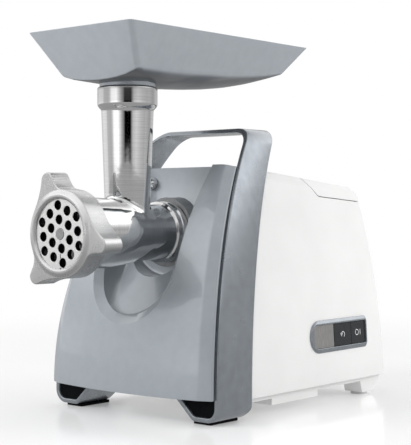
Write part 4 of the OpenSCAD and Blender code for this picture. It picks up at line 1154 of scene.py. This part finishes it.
def floor():
    """A white floor that shows a faint reflection and fades into the white room."""
    s = 6.0
    mesh = bpy.data.meshes.new("floor")
    mesh.from_pydata([(-s, -s, 0), (s, -s, 0), (s, s, 0), (-s, s, 0)], [], [(0, 1, 2, 3)])
    plane = add_object("floor", mesh)
    paint = Paint("floor_white", Specular_IOR_Level=0.5, Roughness=0.16, Emission_Strength=0.2)
    paint.shader.inputs["Emission Color"].default_value = WHITE_LIGHT
    paint.tint(paint.noise(300, detail=2), (0.84, 0.84, 0.84), (0.86, 0.86, 0.86))
    place = paint.node("ShaderNodeTexCoord")
    distance = paint.node("ShaderNodeVectorMath", operation="LENGTH")
    paint.link(place.outputs["Object"], distance.inputs[0])
    far = paint.ranged(distance.outputs["Value"], 0.32, 1.1, eased=True)
    glow = paint.node("ShaderNodeEmission")
    glow.inputs["Color"].default_value = WHITE_LIGHT
    path = paint.node("ShaderNodeLightPath")
    paint.link(paint.ranged(path.outputs["Is Camera Ray"], 0, 1, 0.42, 1.0), glow.inputs["Strength"])
    share = paint.node("ShaderNodeMath", operation="MAXIMUM")
    paint.link(far, share.inputs[0])
    paint.link(path.outputs["Is Glossy Ray"], share.inputs[1])
    mix = paint.node("ShaderNodeMixShader")
    paint.link(share.outputs["Value"], mix.inputs["Fac"])
    paint.link(paint.shader.outputs["BSDF"], mix.inputs[1])
    paint.link(glow.outputs["Emission"], mix.inputs[2])
    paint.link(mix.outputs["Shader"], paint.tree.nodes["Material Output"].inputs["Surface"])
    mesh.materials.append(paint.material)


def soft_light(name, location, target, size, power, glossy=True):
    data = bpy.data.lights.new(name, "AREA")
    data.shape = "RECTANGLE"
    data.size, data.size_y = size
    data.energy = power
    lamp = add_object(name, data)
    lamp.location = location
    aim = Vector(target) - Vector(location)
    lamp.rotation_euler = aim.to_track_quat("-Z", "Y").to_euler()
    lamp.visible_glossy = glossy


# Brightness of the room at eye level, by angle to the right of the camera as seen from the machine
ROOM = [(-180, 0.6), (-152, 0.7), (-128, 0.95), (-104, 0.9), (-97, 0.6), (-76, 0.55), (-68, 0.7),
        (-60, 1.3), (-40, 1.5), (-32, 1.0), (-22, 0.5), (-12, 0.2), (-8, 0.0), (17, 0.0), (22, 0.3),
        (29, 0.65), (44, 0.8), (66, 0.6), (86, 0.5), (92, 0.55), (101, 0.5), (118, 0.4), (140, 0.65),
        (180, 0.6)]
# How bright the room is above eye level, by the same angle
UPPER = [(-180, 0.55), (-110, 0.75), (-65, 1.0), (-25, 0.45), (35, 0.45), (85, 1.0), (120, 1.0),
         (180, 0.55)]
# Brightness by height, where 0.5 is eye level; and how much of ROOM shows at each height
ABOVE = [(0.0, 0.5), (0.5, 0.4), (0.56, 0.4), (0.61, 0.6), (0.655, 1.1), (0.7, 2.0), (0.8, 1.6),
         (1.0, 0.6)]
NEAR_EYE_LEVEL = [(0.0, 1.0), (0.53, 1.0), (0.6, 0.0), (1.0, 0.0)]


def studio():
    """A white room; near eye level it has brighter and darker panels that show in the polished metal."""
    world = bpy.data.worlds.new("studio")
    bpy.context.scene.world = world
    world.use_nodes = True
    tree = world.node_tree
    nodes, links = tree.nodes, tree.links

    def maths(operation, a, b=0.0):
        node = nodes.new("ShaderNodeMath")
        node.operation = operation
        for socket, value in zip(node.inputs, (a, b)):
            if isinstance(value, (int, float)):
                socket.default_value = value
            else:
                links.new(value, socket)
        return node.outputs["Value"]

    def dot(vector):
        node = nodes.new("ShaderNodeVectorMath")
        node.operation = "DOT_PRODUCT"
        links.new(place.outputs["Generated"], node.inputs[0])
        node.inputs[1].default_value = vector
        return node.outputs["Value"]

    def ramp(value, stops):
        node = nodes.new("ShaderNodeValToRGB")
        line = node.color_ramp.elements
        for position, _ in stops[1:-1]:
            line.new(position)
        for element, (_, level) in zip(line, stops):
            element.color = (level, level, level, 1)
        links.new(value, node.inputs["Fac"])
        return node.outputs["Color"]

    def by_angle(levels):
        return ramp(turn, [((angle + 180) / 360, level) for angle, level in levels])

    def mixed(factor, a, b):
        node = nodes.new("ShaderNodeMix")
        node.data_type = "RGBA"
        links.new(factor, node.inputs["Factor"])
        for key, value in (("A", a), ("B", b)):
            if isinstance(value, tuple):
                node.inputs[key].default_value = value
            else:
                links.new(value, node.inputs[key])
        return node.outputs["Result"]

    place = nodes.new("ShaderNodeTexCoord")
    across = dot((math.cos(CAMERA_TURN), math.sin(CAMERA_TURN), 0))
    ahead = dot((math.sin(CAMERA_TURN), -math.cos(CAMERA_TURN), 0))
    turn = maths("ADD", maths("DIVIDE", maths("ARCTAN2", across, ahead), 2 * math.pi), 0.5)
    height = maths("ADD", maths("MULTIPLY", dot((0, 0, 1)), 0.5), 0.5)
    upper = maths("MULTIPLY", ramp(height, ABOVE), by_angle(UPPER))
    room = mixed(ramp(height, NEAR_EYE_LEVEL), upper, by_angle(ROOM))
    seen = nodes.new("ShaderNodeLightPath")
    final = mixed(seen.outputs["Is Camera Ray"], room, WHITE_LIGHT)
    background = nodes["Background"]
    links.new(final, background.inputs["Color"])
    background.inputs["Strength"].default_value = 1.0

    soft_light("overhead", (0.1, -0.3, 1.6), (0, 0, 0.1), (1.6, 1.6), 3)
    soft_light("left_front", (-0.9, -1.4, 0.75), (0, 0, 0.15), (1.0, 1.1), 17, glossy=False)
    soft_light("right_rear", (0.62, 0.62, 0.2), (0, 0.12, 0.25), (0.5, 0.4), 2.2, glossy=False)
    bpy.context.scene.view_settings.view_transform = "Standard"


camera()
floor()
studio()
front_housing()
handle_band()
rear_shells()
bezel()
button_marks()
grinder_body()
screw_ring()
perforated_disc()
feed_tray()
keep_nodes()
